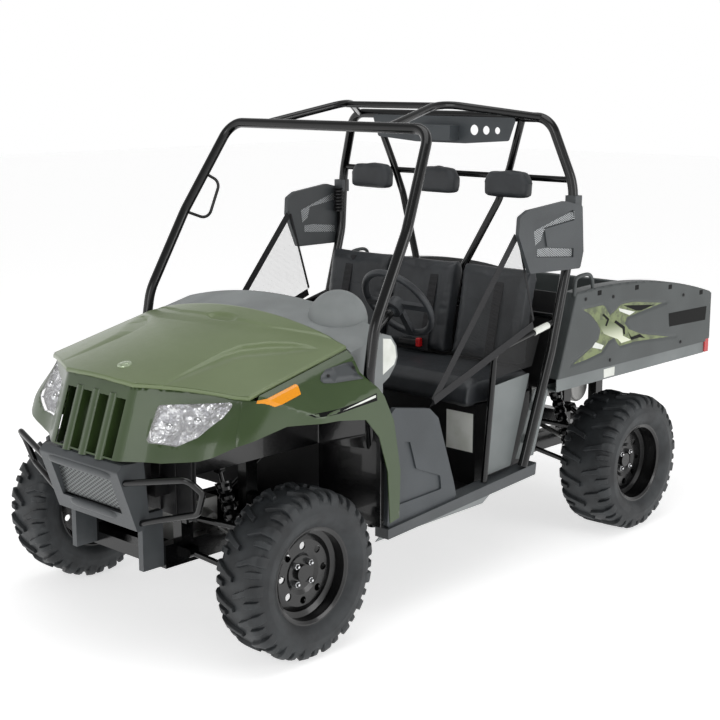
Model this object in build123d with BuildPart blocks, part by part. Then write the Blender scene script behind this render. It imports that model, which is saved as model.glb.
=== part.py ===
from build123d import *
from math import atan2, cos, degrees, hypot, radians, sin
import os

os.makedirs("parts", exist_ok=True)

# ---------------------------------------------------------------- driving dimensions (mm)
# The front of the vehicle faces -Y, its left side +X, and the ground is Z = 0.
front_axle_y = -1220
wheelbase = 2200
rear_axle_y = front_axle_y + wheelbase
front_half_track = 672
rear_half_track = 668
tyre_radius = 330
carcass_radius = 312
front_tyre_width = 229
rear_tyre_width = 279
rim_radius = 178
rim_flange_radius = 190
rim_wall = 4
hub_z = tyre_radius

seat_gap = 0.3            # between pieces that rest on one another
panel_gap = 0.5           # between fixed body panels
moving_gap = 6            # between moving panels and what is fixed
sheet = 4                 # moulded panels and floor sheet
cage_tube = 22.2          # radius of the roll cage tube
side_tube = 14            # radius of the hip bar and bumper tube

# frame
rail_x = 215
rail_width = 50
rail_bottom = 306
floor_bottom = 396
floor_top = floor_bottom + sheet
frame_front = -1500
frame_rear = 1480
bed_rail_x = 300
bed_rail_width = 40
bed_rail_top = 740
bed_rail_height = 40
bed_rail_front = 440

# front body: one crown section runs down to the nose, inside a raked plan outline
body_rear_y = -690
crown_top_z = 1270
crown_edge_x = 540
crown_edge_z = 1205
shoulder_x = 650
shoulder_z = 1150
flare_x = 736
flare_z = 1020
hood_fall = 0.229         # drop of the hood line for each mm forward
hood_half = 612
hood_rear_y = -882
hood_lip = 14
nose_top_y = -1620        # nose at the height nose_top_z
nose_top_z = 1000
nose_foot_z = 757
nose_rake = 0.345         # how far the nose leans back for each mm up
nose_rear_y = -1400

# cargo box
box_front_foot_y = 384
box_front_top_y = 514
box_rear_y = 1725
box_foot_z = 825
box_top_z = 1205
box_outer_x = 718
tub_inner_x = 640
tub_floor_z = 790
bed_pivot_y = 1490
bed_pivot_z = 764
gate_pivot_y = 1706
gate_pivot_z = 802
gate_inner_y = 1690
gate_thickness = 32


def tube(points, radius, bends=0):
    """Round bar along straight runs that are joined by tangent bends."""
    with BuildPart() as bar:
        with BuildLine() as path:
            if len(points) > 2:
                FilletPolyline(*points, radius=bends)
            else:
                Line(*points)
        with BuildSketch(Plane(path.line @ 0, z_dir=path.line % 0)):
            Circle(radius)
        sweep(path=path.line)
    return bar.part


def block(x0, x1, y0, y1, z0, z1):
    """Rectangular bar between two corners."""
    with BuildPart() as bar:
        with Locations(((x0 + x1) / 2, (y0 + y1) / 2, (z0 + z1) / 2)):
            Box(x1 - x0, y1 - y0, z1 - z0)
    return bar.part


def side_plate(points, x0, x1, corner=0):
    """Plate with a (y, z) outline, from x0 to x1, its corners rounded."""
    with BuildPart() as plate:
        with BuildSketch(Plane.YZ.offset(x0)) as outline:
            with BuildLine():
                Polyline(*points, close=True)
            make_face()
            if corner > 0:
                fillet(outline.vertices(), corner)
        extrude(amount=x1 - x0)
    return plate.part


def pin(x0, x1, y, z, radius):
    """Round bar across the vehicle."""
    with BuildPart() as bar:
        with Locations(((x0 + x1) / 2, y, z)):
            Cylinder(radius, x1 - x0, rotation=(0, 90, 0))
    return bar.part


def both_sides():
    """Add the mirrored half on the vehicle's other side."""
    mirror(about=Plane.YZ)


def save(part, name):
    """Label a finished piece and write it."""
    part.label = name
    export_step(part, f"parts/{name}.step")


# ---------------------------------------------------------------- chassis frame
# Two box rails with cross members, posts and arm brackets at each axle, bed rails, hitch tube.
rail_in = rail_x - rail_width / 2
rail_out = rail_x + rail_width / 2
beam_bottom = bed_rail_top - bed_rail_height
beam_in = bed_rail_x - bed_rail_width / 2
beam_out = bed_rail_x + bed_rail_width / 2
axle_ys = (front_axle_y, rear_axle_y)
arm_spread = 170
arm_pivot_x = rail_out + 22
lower_pivot_z = 350
upper_pivot_z = 492
bush_half = 22
bush_radius = 20
leaf = 6
shock_y = -50             # beside the half shaft
shock_head_z = 668
eye_half = 12
eye_radius = 16
half_post = 30
axle_post_ys = [y + spread for y in axle_ys for spread in (-arm_spread, arm_spread)]
bed_post_ys = (480, 1440)
cross_ys = (-1470, -640, -60, 300, 640)
outrigger_ys = (-640, -60)
outrigger_end = 640
hitch_outer = 64
hitch_inner = 51
hitch_end = 1600
hitch_z = 340
hitch_pin = 16
skid = 3
lug_radius = 14
pivot_pin = 8
pivot_lug_xs = (bed_rail_x - 15, bed_rail_x + 15)

front_post_ys = axle_post_ys[:2]
rear_post_ys = axle_post_ys[2:] + list(bed_post_ys)
with BuildPart() as chassis_frame:
    add([block(rail_in, rail_out, frame_front, frame_rear, rail_bottom, floor_bottom)]
        + [block(rail_out - 1, outrigger_end, y - half_post, y + half_post, floor_bottom - 40, floor_bottom)
           for y in outrigger_ys]
        + [block(rail_out - 1, arm_pivot_x + 8, post_y + side, post_y + side + leaf,
                 lower_pivot_z - 20, lower_pivot_z + 20)
           for post_y in axle_post_ys for side in (-bush_half - seat_gap - leaf, bush_half + seat_gap)])
    both_sides()
    add([block(-rail_in - 1, rail_in + 1, y - half_post, y + half_post, rail_bottom, rail_bottom + 50)
         for y in cross_ys]
        + [block(-rail_out, rail_out, frame_front, 1200, rail_bottom - skid, rail_bottom),
           block(-rail_in - 1, rail_in + 1, 1420, frame_rear, rail_bottom, floor_bottom - 10),
           block(-hitch_outer / 2, hitch_outer / 2, 1440, hitch_end, hitch_z - hitch_outer / 2,
                 hitch_z + hitch_outer / 2)])
    add(block(-hitch_inner / 2, hitch_inner / 2, 1490, hitch_end + 1, hitch_z - hitch_inner / 2,
              hitch_z + hitch_inner / 2), mode=Mode.SUBTRACT)
    with Locations((0, hitch_end - 45, hitch_z)):
        Cylinder(hitch_pin / 2, hitch_outer + 10, rotation=(0, 90, 0), mode=Mode.SUBTRACT)
save(chassis_frame.part, "chassis_frame")


def subframe(post_ys, beam_ys, shock_head_y):
    """Posts standing on one side's rail, the beam on top of them and their brackets, with cross members."""
    with BuildPart() as frame:
        add([block(rail_in, rail_out, y - half_post, y + half_post, floor_bottom, bed_rail_top) for y in post_ys]
            + [block(rail_out - 1, beam_in + 1, y - half_post, y + half_post, beam_bottom, bed_rail_top)
               for y in post_ys]
            + [block(beam_in, beam_out, *beam_ys, beam_bottom, bed_rail_top)]
            + [block(rail_out - 1, arm_pivot_x + 8, post_y + side, post_y + side + leaf,
                     upper_pivot_z - 20, upper_pivot_z + 20)
               for post_y in post_ys[:2] for side in (-bush_half - seat_gap - leaf, bush_half + seat_gap)]
            + [block(bed_rail_x - 14, bed_rail_x + 14, shock_head_y + side, shock_head_y + side + leaf,
                     shock_head_z - 12, beam_bottom + 1) for side in (-eye_half - seat_gap - leaf, eye_half + seat_gap)])
        both_sides()
        add([block(-rail_in - 1, rail_in + 1, y - half_post, y + half_post, beam_bottom, bed_rail_top)
             for y in post_ys])
    return frame.part


with BuildPart() as front_subframe:
    add(subframe(front_post_ys, (front_axle_y - 200, front_axle_y + 200), front_axle_y + shock_y))
save(front_subframe.part, "front_subframe")

with BuildPart() as bed_subframe:
    add([block(x - 4, x + 4, bed_pivot_y - lug_radius, bed_pivot_y + 10, bed_rail_top - 1, bed_pivot_z)
         for x in pivot_lug_xs]
        + [pin(x - 4, x + 4, bed_pivot_y, bed_pivot_z, lug_radius) for x in pivot_lug_xs]
        + [pin(pivot_lug_xs[0], pivot_lug_xs[1], bed_pivot_y, bed_pivot_z, pivot_pin)])
    both_sides()
    add(subframe(rear_post_ys, (bed_rail_front, bed_pivot_y + 10), rear_axle_y + shock_y))
save(bed_subframe.part, "bed_subframe")

# ---------------------------------------------------------------- suspension
# The four corners are alike: two A arms, a coil-over shock and a half shaft.
arm_radius = 12
lower_joint_z = 232
upper_joint_z = 442
kingpin_x = 545
joint_radius = 20
joint_half = 22
shock_foot_x = 425
shock_foot_z = 318
spring_radius = 31
damper_radius = 20
rod_radius = 10
shock_turns = 7
arm_levels = ((lower_pivot_z, lower_joint_z), (upper_pivot_z, upper_joint_z))

with BuildPart() as control_arms:
    for axle_y in axle_ys:
        foot_y = axle_y + shock_y
        add([tube([(arm_pivot_x, axle_y + spread, pivot_z), (kingpin_x, axle_y, joint_z)], arm_radius)
             for pivot_z, joint_z in arm_levels for spread in (-arm_spread, arm_spread)]
            + [block(shock_foot_x - 22, shock_foot_x + 22, axle_y - 80, axle_y + 80,
                     shock_foot_z - 44, shock_foot_z - 30)]
            + [block(shock_foot_x - 14, shock_foot_x + 14, foot_y + side, foot_y + side + leaf,
                     shock_foot_z - 40, shock_foot_z + 4)
               for side in (-eye_half - seat_gap - leaf, eye_half + seat_gap)])
        for pivot_z, joint_z in arm_levels:
            with Locations((kingpin_x, axle_y, joint_z)):
                Cylinder(joint_radius, 2 * joint_half)
            with Locations(*[(arm_pivot_x, axle_y + spread, pivot_z) for spread in (-arm_spread, arm_spread)]):
                Cylinder(bush_radius, 2 * bush_half, rotation=(90, 0, 0))
    both_sides()
save(control_arms.part, "control_arms")

shock_run = hypot(bed_rail_x - shock_foot_x, shock_head_z - shock_foot_z)
coil_foot = 60
coil_pitch = (shock_run - 2 * coil_foot) / shock_turns
with BuildPart() as damper:
    with BuildSketch(Plane.XZ):
        with BuildLine():
            coils = []
            for turn in range(shock_turns):
                foot = coil_foot + turn * coil_pitch
                coils += [(damper_radius + 4, foot), (spring_radius, foot + 0.25 * coil_pitch),
                          (spring_radius, foot + 0.6 * coil_pitch)]
            Polyline((0, eye_radius + 2), (damper_radius, eye_radius + 2), (damper_radius, coil_foot - 8),
                     (spring_radius + 3, coil_foot - 8), (spring_radius + 3, coil_foot), *coils,
                     (spring_radius + 3, shock_run - coil_foot), (spring_radius + 3, shock_run - coil_foot + 8),
                     (rod_radius, shock_run - coil_foot + 8), (rod_radius, shock_run - eye_radius + 4),
                     (0, shock_run - eye_radius + 4), close=True)
        make_face()
    revolve(axis=Axis.Z)
    with Locations((0, 0, 0), (0, 0, shock_run)):
        Cylinder(eye_radius, 2 * eye_half, rotation=(90, 0, 0))
    with Locations((0, 0, eye_radius - 2)):
        Cylinder(rod_radius, 12)
lean = degrees(atan2(bed_rail_x - shock_foot_x, shock_head_z - shock_foot_z))
with BuildPart() as shock_absorbers:
    with Locations(*[Location((shock_foot_x, y + shock_y, shock_foot_z), (0, lean, 0)) for y in axle_ys]):
        add(damper.part)
    both_sides()
save(shock_absorbers.part, "shock_absorbers")

# Hub carriers: an upright between the arms' ball joints and a spindle out to the rim.
upright_foot = lower_joint_z + joint_half + seat_gap
upright_head = upper_joint_z - joint_half - seat_gap
upright_half = 18
spindle_radius = 24
carrier_radius = 42
rim_seat = 20             # from the wheel's middle out to the back of the rim disc
arm_reach = 110
arm_top_z = 410


def hub_carrier(axle_y, half_track):
    """Upright with its bearing housing and spindle, on the left side."""
    with BuildPart() as carrier:
        add([block(kingpin_x - upright_half, kingpin_x + upright_half, axle_y - 22, axle_y + 22,
                   upright_foot + 10, upright_head),
             tube([(kingpin_x, axle_y, upright_foot), (kingpin_x, axle_y, upright_foot + 12)], 15),
             pin(kingpin_x, kingpin_x + 70, axle_y, hub_z, carrier_radius),
             pin(kingpin_x, half_track + rim_seat - seat_gap, axle_y, hub_z, spindle_radius)])
    return carrier.part


with BuildPart() as knuckle_front_left:
    add(hub_carrier(front_axle_y, front_half_track))
    add([block(kingpin_x - 28, kingpin_x + 10, front_axle_y, front_axle_y + arm_reach + 14,
               arm_top_z - 14, arm_top_z)])
save(knuckle_front_left.part, "knuckle_front_left")
with BuildPart() as knuckle_front_right:
    mirror(knuckle_front_left.part, about=Plane.YZ)
save(knuckle_front_right.part, "knuckle_front_right")
with BuildPart() as rear_knuckles:
    add(hub_carrier(rear_axle_y, rear_half_track))
    both_sides()
save(rear_knuckles.part, "rear_knuckles")

# ---------------------------------------------------------------- wheels
disc_slots = 8
slot_circle = 108
slot_radius = 15
lug_circle = 50
lug_nuts = 4


def wheel_plane(half_track, axle_y):
    """Wheel frame: X out along the axle from the wheel's middle, Y along the radius."""
    return Plane(origin=(half_track, axle_y, hub_z))


def rim(half_track, width, axle_y):
    """Left-hand steel rim: flanged barrel, slotted disc, hub cap and nuts."""
    flange = width / 2 - 24
    centre = wheel_plane(half_track, axle_y)
    with BuildPart() as wheel:
        with BuildSketch(centre):
            with BuildLine():
                Polyline((-flange, rim_flange_radius), (8 - flange, rim_radius), (-44, rim_radius),
                         (-26, rim_radius - 20), (16, rim_radius - 20), (34, rim_radius),
                         (flange - 8, rim_radius), (flange, rim_flange_radius), (flange, rim_flange_radius - 6),
                         (flange - 6, rim_radius - 5), (38, rim_radius - 5), (30, rim_radius - 26), (36, 130),
                         (36, 84), (28, 66), (28, 0), (rim_seat, 0), (rim_seat, 66), (28, 88), (28, 128),
                         (22, rim_radius - 25), (-28, rim_radius - 25), (-46, rim_radius - 5),
                         (6 - flange, rim_radius - 5), (-flange, rim_flange_radius - 6), close=True)
            make_face()
        revolve(axis=Axis(centre.origin, (1, 0, 0)))
        with Locations(Plane(origin=(half_track + rim_seat - 5, axle_y, hub_z), z_dir=(1, 0, 0))):
            with PolarLocations(slot_circle, disc_slots):
                Cylinder(slot_radius, 40, align=(Align.CENTER, Align.CENTER, Align.MIN), mode=Mode.SUBTRACT)
        with Locations(Plane(origin=(half_track + 28, axle_y, hub_z), z_dir=(1, 0, 0))):
            Cylinder(32, 16, align=(Align.CENTER, Align.CENTER, Align.MIN))
            with PolarLocations(lug_circle, lug_nuts, 45):
                Cylinder(10, 14, align=(Align.CENTER, Align.CENTER, Align.MIN))
    return wheel.part


def tyre(half_track, width, axle_y):
    """Left-hand tyre: round shoulders, and a bore that fits the rim."""
    half = width / 2
    flange = half - 24
    bead = rim_radius + seat_gap
    centre = wheel_plane(half_track, axle_y)
    with BuildPart() as rubber:
        with BuildSketch(centre):
            with BuildLine():
                Polyline((8.5 - flange, bead), (0.5 - flange, rim_flange_radius + seat_gap),
                         (-flange - 6, rim_flange_radius + 6), (-half, 236),
                         (-half, 276), (14 - half, 308), (44 - half, tyre_radius), (half - 44, tyre_radius),
                         (half - 14, 308), (half, 276), (half, 236), (flange + 6, rim_flange_radius + 6),
                         (flange - 0.5, rim_flange_radius + seat_gap), (flange - 8.5, bead), close=True)
            make_face()
        revolve(axis=Axis(centre.origin, (1, 0, 0)))
    return rubber.part


for place, half_track, width, axle_y in (("front", front_half_track, front_tyre_width, front_axle_y),
                                         ("rear", rear_half_track, rear_tyre_width, rear_axle_y)):
    for name, shape in (("rim", rim(half_track, width, axle_y)), ("tyre", tyre(half_track, width, axle_y))):
        save(shape, f"{name}_{place}_left")
        with BuildPart() as twin:
            mirror(shape, about=Plane.YZ)
        save(twin.part, f"{name}_{place}_right")

# ---------------------------------------------------------------- driveline, engine and exhaust
gearcase_half = 140
shaft_z = 440
shaft_radius = 12
boot_radius = 34
prop_z = 382
engine_front = -10
engine_rear = 420
engine_half = 180
engine_top = 700
muffler_y = 1330
muffler_z = 560
muffler_radius = 80
muffler_half = 190
exhaust_radius = 22
exhaust_x = 90

with BuildPart() as driveline:
    for axle_y, half_track in ((front_axle_y, front_half_track), (rear_axle_y, rear_half_track)):
        shaft = [(gearcase_half - 5, axle_y, shaft_z), (kingpin_x - upright_half - 14, axle_y, hub_z)]
        add(tube(shaft, shaft_radius))
        fall = (shaft_z - hub_z) / (shaft[1][0] - shaft[0][0])
        for x0, x1 in ((gearcase_half - 1, rail_in - 4), (kingpin_x - 90, kingpin_x - upright_half - 16)):
            along = Plane(origin=(x0, axle_y, shaft_z - fall * (x0 - shaft[0][0])), z_dir=(1, 0, -fall))
            with Locations(along):
                Cylinder(boot_radius - 4, x1 - x0, align=(Align.CENTER, Align.CENTER, Align.MIN))
        add([block(-1, gearcase_half, axle_y - 100, axle_y + 70, 330, 500),
             block(gearcase_half - 1, rail_in - seat_gap, axle_y - 60, axle_y - 10, 340, 380)])
    both_sides()
    add(tube([(0, front_axle_y + 69, prop_z), (0, rear_axle_y - 99, prop_z)], shaft_radius - 1))
save(driveline.part, "driveline")

with BuildPart() as engine_block:
    add(block(-engine_half, engine_half, engine_front, engine_rear, floor_top + 2, engine_top))
    fillet(engine_block.edges().filter_by(Axis.Z), 30)
    add(block(-engine_half - 60, engine_half + 60, 270, 330, floor_bottom, floor_top + 3))
save(engine_block.part, "engine_block")

with BuildPart() as exhaust_muffler:
    add([pin(-muffler_half, muffler_half, muffler_y, muffler_z, muffler_radius),
         tube([(exhaust_x, engine_rear + seat_gap, 600), (exhaust_x, muffler_y - muffler_radius + 10, 600)],
              exhaust_radius),
         tube([(-150, muffler_y, muffler_z), (-150, muffler_y + 150, muffler_z - 60)], exhaust_radius)])
    fillet(exhaust_muffler.edges().filter_by(GeomType.CIRCLE).filter_by(
        lambda e: abs(e.radius - muffler_radius) < 0.01), 18)
    add([block(-rail_in + 0.3, -rail_in + 40, 1415, 1435, 560, 600),
         block(rail_in - 40, rail_in - 0.3, 1415, 1435, 560, 600)])
save(exhaust_muffler.part, "exhaust_muffler")

# ---------------------------------------------------------------- steering
rack_y = front_axle_y + arm_reach
rack_z = 424
rack_radius = 20
rack_half = 205
tie_rod_radius = 8
rod_end_x = kingpin_x - 13
wheel_centre = (400, -345, 1225)
column_lean = 34.8        # above the horizontal
column_run = 470
column_radius = 19
wheel_ring = 168
wheel_grip = 15
column_y = cos(radians(column_lean))
column_z = sin(radians(column_lean))
joint_y = wheel_centre[1] - column_run * column_y
joint_z = wheel_centre[2] - column_run * column_z
pinion_x = 60

with BuildPart() as steering_gear:
    add([pin(-rack_half, rack_half, rack_y, rack_z, rack_radius),
         block(-rack_half, -rail_in, rack_y - 18, rack_y + 18, floor_bottom + seat_gap, rack_z),
         block(rail_in, rack_half, rack_y - 18, rack_y + 18, floor_bottom + seat_gap, rack_z),
         tube([(wheel_centre[0], wheel_centre[1] - 60 * column_y, wheel_centre[2] - 60 * column_z),
               (wheel_centre[0], joint_y, joint_z)], column_radius),
         tube([(wheel_centre[0], joint_y, joint_z), (pinion_x, rack_y, rack_z)], tie_rod_radius + 2)])
    with Locations((wheel_centre[0], joint_y, joint_z)):
        Sphere(22)
    # the rack slides inside its housing
    add(pin(-rack_half - 1, rack_half + 1, rack_y, rack_z, tie_rod_radius + seat_gap + 2), mode=Mode.SUBTRACT)
save(steering_gear.part, "steering_gear")

with BuildPart() as tie_rods:
    add([pin(-rack_half - 25, rack_half + 25, rack_y, rack_z, tie_rod_radius + 2),
         pin(rack_half + 20, rod_end_x - 6, rack_y, rack_z, tie_rod_radius),
         pin(-rod_end_x + 6, -rack_half - 20, rack_y, rack_z, tie_rod_radius)])
    with Locations((rod_end_x, rack_y, rack_z), (-rod_end_x, rack_y, rack_z)):
        Cylinder(13, 2 * (rack_z - arm_top_z - seat_gap))
save(tie_rods.part, "tie_rods")

column_plane = Plane(origin=wheel_centre, x_dir=(1, 0, 0), z_dir=(0, column_y, column_z))
with BuildPart() as steering_wheel:
    with Locations(column_plane):
        Torus(wheel_ring, wheel_grip)
    with Locations(column_plane.offset(-45)):
        Cylinder(40, 34, align=(Align.CENTER, Align.CENTER, Align.MIN))
    with Locations(column_plane.offset(-60 + seat_gap)):
        Cylinder(column_radius, 16, align=(Align.CENTER, Align.CENTER, Align.MIN))
    with BuildSketch(column_plane.offset(-5)):
        for x, y, turn in ((wheel_ring / 2, 0, 0), (-wheel_ring / 2, 0, 0), (0, wheel_ring / 2, 90)):
            with Locations((x, y)):
                Rectangle(wheel_ring - 6, 30, rotation=turn)
        Circle(38)
    extrude(amount=10, both=True)
save(steering_wheel.part, "steering_wheel")

# The front hoop's path, from one foot over the header to the other
leg_points = [(650, -770, floor_bottom + seat_gap), (654, -775, 700), (694, -845, 1012), (692, -808, 1215),
              (677, -607, 1568), (600, -384, 1960), (-600, -384, 1960), (-677, -607, 1568),
              (-692, -808, 1215), (-694, -845, 1012), (-654, -775, 700), (-650, -770, floor_bottom + seat_gap)]
leg_bends = [180, 240, 260, 300, 90, 90, 300, 260, 240, 180]

# ---------------------------------------------------------------- front body panels
# Every panel is cut from one shell, so that their surfaces run through the seams.
strip_foot_z = 423


def crown_prism(drop, inset):
    """Space under the hood line, lowered by drop and narrowed by inset."""
    with BuildPart() as prism:
        with BuildSketch(Plane.XZ.offset(-body_rear_y)):
            with BuildLine():
                top = TangentArc((0, crown_top_z - drop), (crown_edge_x, crown_edge_z - drop), tangent=(1, 0))
                shoulder = TangentArc(top @ 1, (shoulder_x, shoulder_z - drop), tangent=top % 1)
                Polyline(shoulder @ 1, (flare_x, flare_z - drop), (flare_x, 300), (0, 300),
                         (0, crown_top_z - drop))
            make_face()
            mirror(about=Plane.YZ)
            if inset != 0:
                offset(amount=-inset)
        extrude(amount=1400, dir=(0, -1, -hood_fall))
    return prism.part


def plan_prism(inset):
    """Space inside the raked plan outline of the nose and fenders."""
    foot_z = strip_foot_z - 10
    shift = nose_rake * (nose_top_z - foot_z)
    with BuildPart() as prism:
        with BuildSketch(Plane.XY.offset(foot_z)) as outline:
            with BuildLine():
                Polyline((0, nose_top_y), (208, nose_top_y + 4), (312, nose_top_y + 66), (572, nose_top_y + 215),
                         (652, nose_top_y + 300), (flare_x, nose_top_y + 520), (flare_x, -400), (-flare_x, -400),
                         (-flare_x, nose_top_y + 520), (-652, nose_top_y + 300), (-572, nose_top_y + 215),
                         (-312, nose_top_y + 66), (-208, nose_top_y + 4), close=True)
            make_face()
            corners = [v for v in outline.vertices() if nose_top_y + 2 < v.Y < nose_top_y + 600]
            fillet(corners, 90)
            if inset != 0:
                offset(amount=-inset)
        extrude(amount=1000, dir=(0, nose_rake, 1))
    return Pos(0, -shift, 0) * prism.part


def front_body(inset, drop=0):
    """Closed space of the front body, set in from its outer surface."""
    with BuildPart() as body:
        add(crown_prism(drop, inset))
        add(plan_prism(inset), mode=Mode.INTERSECT)
    return body.part


outer_body = front_body(0)
inner_body = front_body(sheet)
lamp_outline = ((292, 838), (304, 975), (560, 1000), (548, 950), (500, 880), (420, 838))
slot_xs = (-156, -52, 52, 156)
slot_width = 46
slot_height = 188
slot_z = 893
nose_edge = ((-1850, nose_foot_z), (-1600, 772), (-1500, 800), (nose_rear_y, 852), (nose_rear_y, 1300),
             (-1850, 1300))
fender_edge = ((nose_rear_y + panel_gap, 853), (-1259, 905), (-1049, 895), (-900, 872), (-825, 790),
               (-775, 640), (-760, strip_foot_z), (-706, strip_foot_z + 12), (-700, 628), (-740, 840),
               (-798, 950), (-870, 1030), (-884, 1050), (-884, 1300), (nose_rear_y + panel_gap, 1300))
marker_edge = ((-1392, 962), (-1382, 1000), (-1180, 1046), (-1184, 1010))
vent_edge = ((-1120, 978), (-1106, 1016), (-890, 1066), (-862, 1034), (-884, 1004), (-960, 984), (-1040, 970))

with BuildPart() as hood_space:
    add(block(-hood_half - moving_gap, hood_half + moving_gap, -1900, body_rear_y, 600, 1400))
    add(crown_prism(hood_lip + moving_gap, 0), mode=Mode.SUBTRACT)

with BuildPart() as lamp_space:
    with BuildSketch(Plane.XZ.offset(1380)) as outline:
        with BuildLine():
            Polyline(*lamp_outline, close=True)
        make_face()
        fillet(outline.vertices(), 14)
    extrude(amount=400)
    both_sides()

with BuildPart() as nose_panel:
    add(outer_body)
    add([inner_body, hood_space.part, lamp_space.part], mode=Mode.SUBTRACT)
    add(side_plate(nose_edge, -800, 800), mode=Mode.INTERSECT)
    with BuildSketch(Plane.XZ.offset(1500)):
        with Locations(*[(x, slot_z) for x in slot_xs]):
            SlotOverall(slot_height, slot_width, rotation=90)
    extrude(amount=400, mode=Mode.SUBTRACT)
save(nose_panel.part, "nose_panel")

with BuildPart() as front_fenders:
    add(outer_body)
    add([inner_body, hood_space.part, lamp_space.part], mode=Mode.SUBTRACT)
    add(side_plate(fender_edge, -800, 800), mode=Mode.INTERSECT)
    add(tube(leg_points, cage_tube + 3, leg_bends), mode=Mode.SUBTRACT)
save(front_fenders.part, "front_fenders")

with BuildPart() as hood:
    add(outer_body)
    add([inner_body, crown_prism(hood_lip, 0)], mode=Mode.SUBTRACT)
    add(block(-hood_half, hood_half, -1900, hood_rear_y, 600, 1400), mode=Mode.INTERSECT)
save(hood.part, "hood")

with BuildPart() as headlight_lenses:
    add(outer_body)
    add(inner_body, mode=Mode.SUBTRACT)
    add(lamp_space.part, mode=Mode.INTERSECT)
save(headlight_lenses.part, "headlight_lenses")

reflector_depth = 60
with BuildPart() as headlight_reflectors:
    add(front_body(sheet + seat_gap))
    add(front_body(sheet + reflector_depth), mode=Mode.SUBTRACT)
    add(lamp_space.part, mode=Mode.INTERSECT)
save(headlight_reflectors.part, "headlight_reflectors")

trim = 2
with BuildPart() as trim_skin:
    add(front_body(-trim))
    add(outer_body, mode=Mode.SUBTRACT)
for name, edge in (("side_markers", marker_edge), ("fender_vents", vent_edge)):
    with BuildPart() as patch:
        add(trim_skin.part)
        add([side_plate(edge, hood_half + moving_gap, 800, 6), side_plate(edge, -800, -hood_half - moving_gap, 6)],
            mode=Mode.INTERSECT)
    save(patch.part, name)

# ---------------------------------------------------------------- cab shell
wall_y = -802
sill_in = 640
sill_out = 712
sill_top_front = 387
sill_top_rear = 464
sill_front = -745
sill_rear = 252


def sill_top(y):
    """Height of the sill's top edge."""
    return sill_top_front + (sill_top_rear - sill_top_front) * (y - sill_front) / (sill_rear - sill_front)


pedestal_front = -60
pedestal_half = 600
cushion_foot = 764
cushion_top = 880
liner_x = 383
tub_z = 918

# Floor sheet and the wall ahead of the feet, up to the underside of the dash
with BuildPart() as floor_pan:
    add(block(-610, 610, wall_y, wall_y + sheet, floor_bottom, 1300))
    add(crown_prism(2 * sheet + seat_gap, 0), mode=Mode.INTERSECT)
    add([block(seat_gap - sill_in, sill_in - seat_gap, -738, pedestal_front + 20, floor_bottom, floor_top),
         block(-610, 610, wall_y, -737, floor_bottom, floor_top)])
    add(tube([(wheel_centre[0], joint_y, joint_z), (pinion_x, rack_y, rack_z)], 28), mode=Mode.SUBTRACT)
save(floor_pan.part, "floor_pan")

# Wheel liners: arch roofs, inner and rear walls, joined by the storage tub under the hood
with BuildPart() as wheel_liners:
    add([block(liner_x - 2, 900, -1480, wall_y - 4, tub_z - 2, tub_z + 2),
         block(liner_x - 2, liner_x + 2, -1480, hood_rear_y - 2, 700, 1300),
         block(liner_x - 2, liner_x + 2, hood_rear_y - 3, wall_y - 4, 700, tub_z + 2),
         block(liner_x - 2, 724, wall_y - 4, wall_y, 410, tub_z + 2),
         block(290, 310, -1240, -1200, bed_rail_top, tub_z)])
    both_sides()
    add([block(-liner_x, liner_x, -1480, hood_rear_y - 2, tub_z - 2, tub_z + 2),
         block(-liner_x, liner_x, hood_rear_y - 6, hood_rear_y - 2, tub_z, 1300),
         block(-liner_x, liner_x, -1482, -1478, tub_z, 1300)])
    add(front_body(sheet + seat_gap), mode=Mode.INTERSECT)
    add([headlight_reflectors.part, tube(leg_points, cage_tube + 3, leg_bends)], mode=Mode.SUBTRACT)
save(wheel_liners.part, "wheel_liners")

# Dash cowl with its instrument hood, open below and ahead
dash_half = 630
dash_front = hood_rear_y + moving_gap
dash_edge = ((-1000, 800), (-1000, 1300), (-705, 1300), (-640, 1200), (-625, 1090), (-680, 940), (-690, 800))
dial_centre = (wheel_centre[0], -710, 1200)
dial_radius = 122


def dash_space(inset):
    """Closed space of the dash, set in from its outer surface."""
    with BuildPart() as space:
        with BuildSketch(Plane.YZ.offset(inset - dash_half)):
            with BuildLine():
                Polyline(*dash_edge, close=True)
            make_face()
            if inset > 0:
                offset(amount=-inset)
        extrude(amount=2 * (dash_half - inset))
        add(crown_prism(sheet + inset, 0), mode=Mode.INTERSECT)
        with Locations(dial_centre):
            Sphere(dial_radius - inset)
    return space.part


with BuildPart() as dash_panel:
    add(dash_space(0))
    add([dash_space(sheet), block(-900, 900, -1200, dash_front, 700, 1400), block(-900, 900, -1200, 0, 700, tub_z + 8),
         block(-900, 900, dial_centre[1] + 72, 0, 1100, 1400),
         tube([(wheel_centre[0], -300, wheel_centre[2] + 45 * column_z / column_y),
               (wheel_centre[0], joint_y, joint_z)], column_radius + 6)], mode=Mode.SUBTRACT)
save(dash_panel.part, "dash_panel")

# Leg guards beside the footwells, rockers below the doorways and the skirts under them
guard_edge = ((-735, sill_top(-735) + seat_gap), (-300, sill_top(-300) + seat_gap), (-322, 500), (-425, 790), (-480, 838), (-690, 876), (-722, 850))
guard_rib = ((-690, 470), (-400, 480), (-410, 540), (-560, 600), (-600, 720), (-640, 730))
with BuildPart() as leg_guards:
    add(side_plate(guard_edge, 676, 698, 12))
    add(side_plate(guard_rib, 690, 699, 8), mode=Mode.SUBTRACT)
    add(block(650, 677, -640, -420, 520, 560))
    both_sides()
save(leg_guards.part, "leg_guards")

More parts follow.
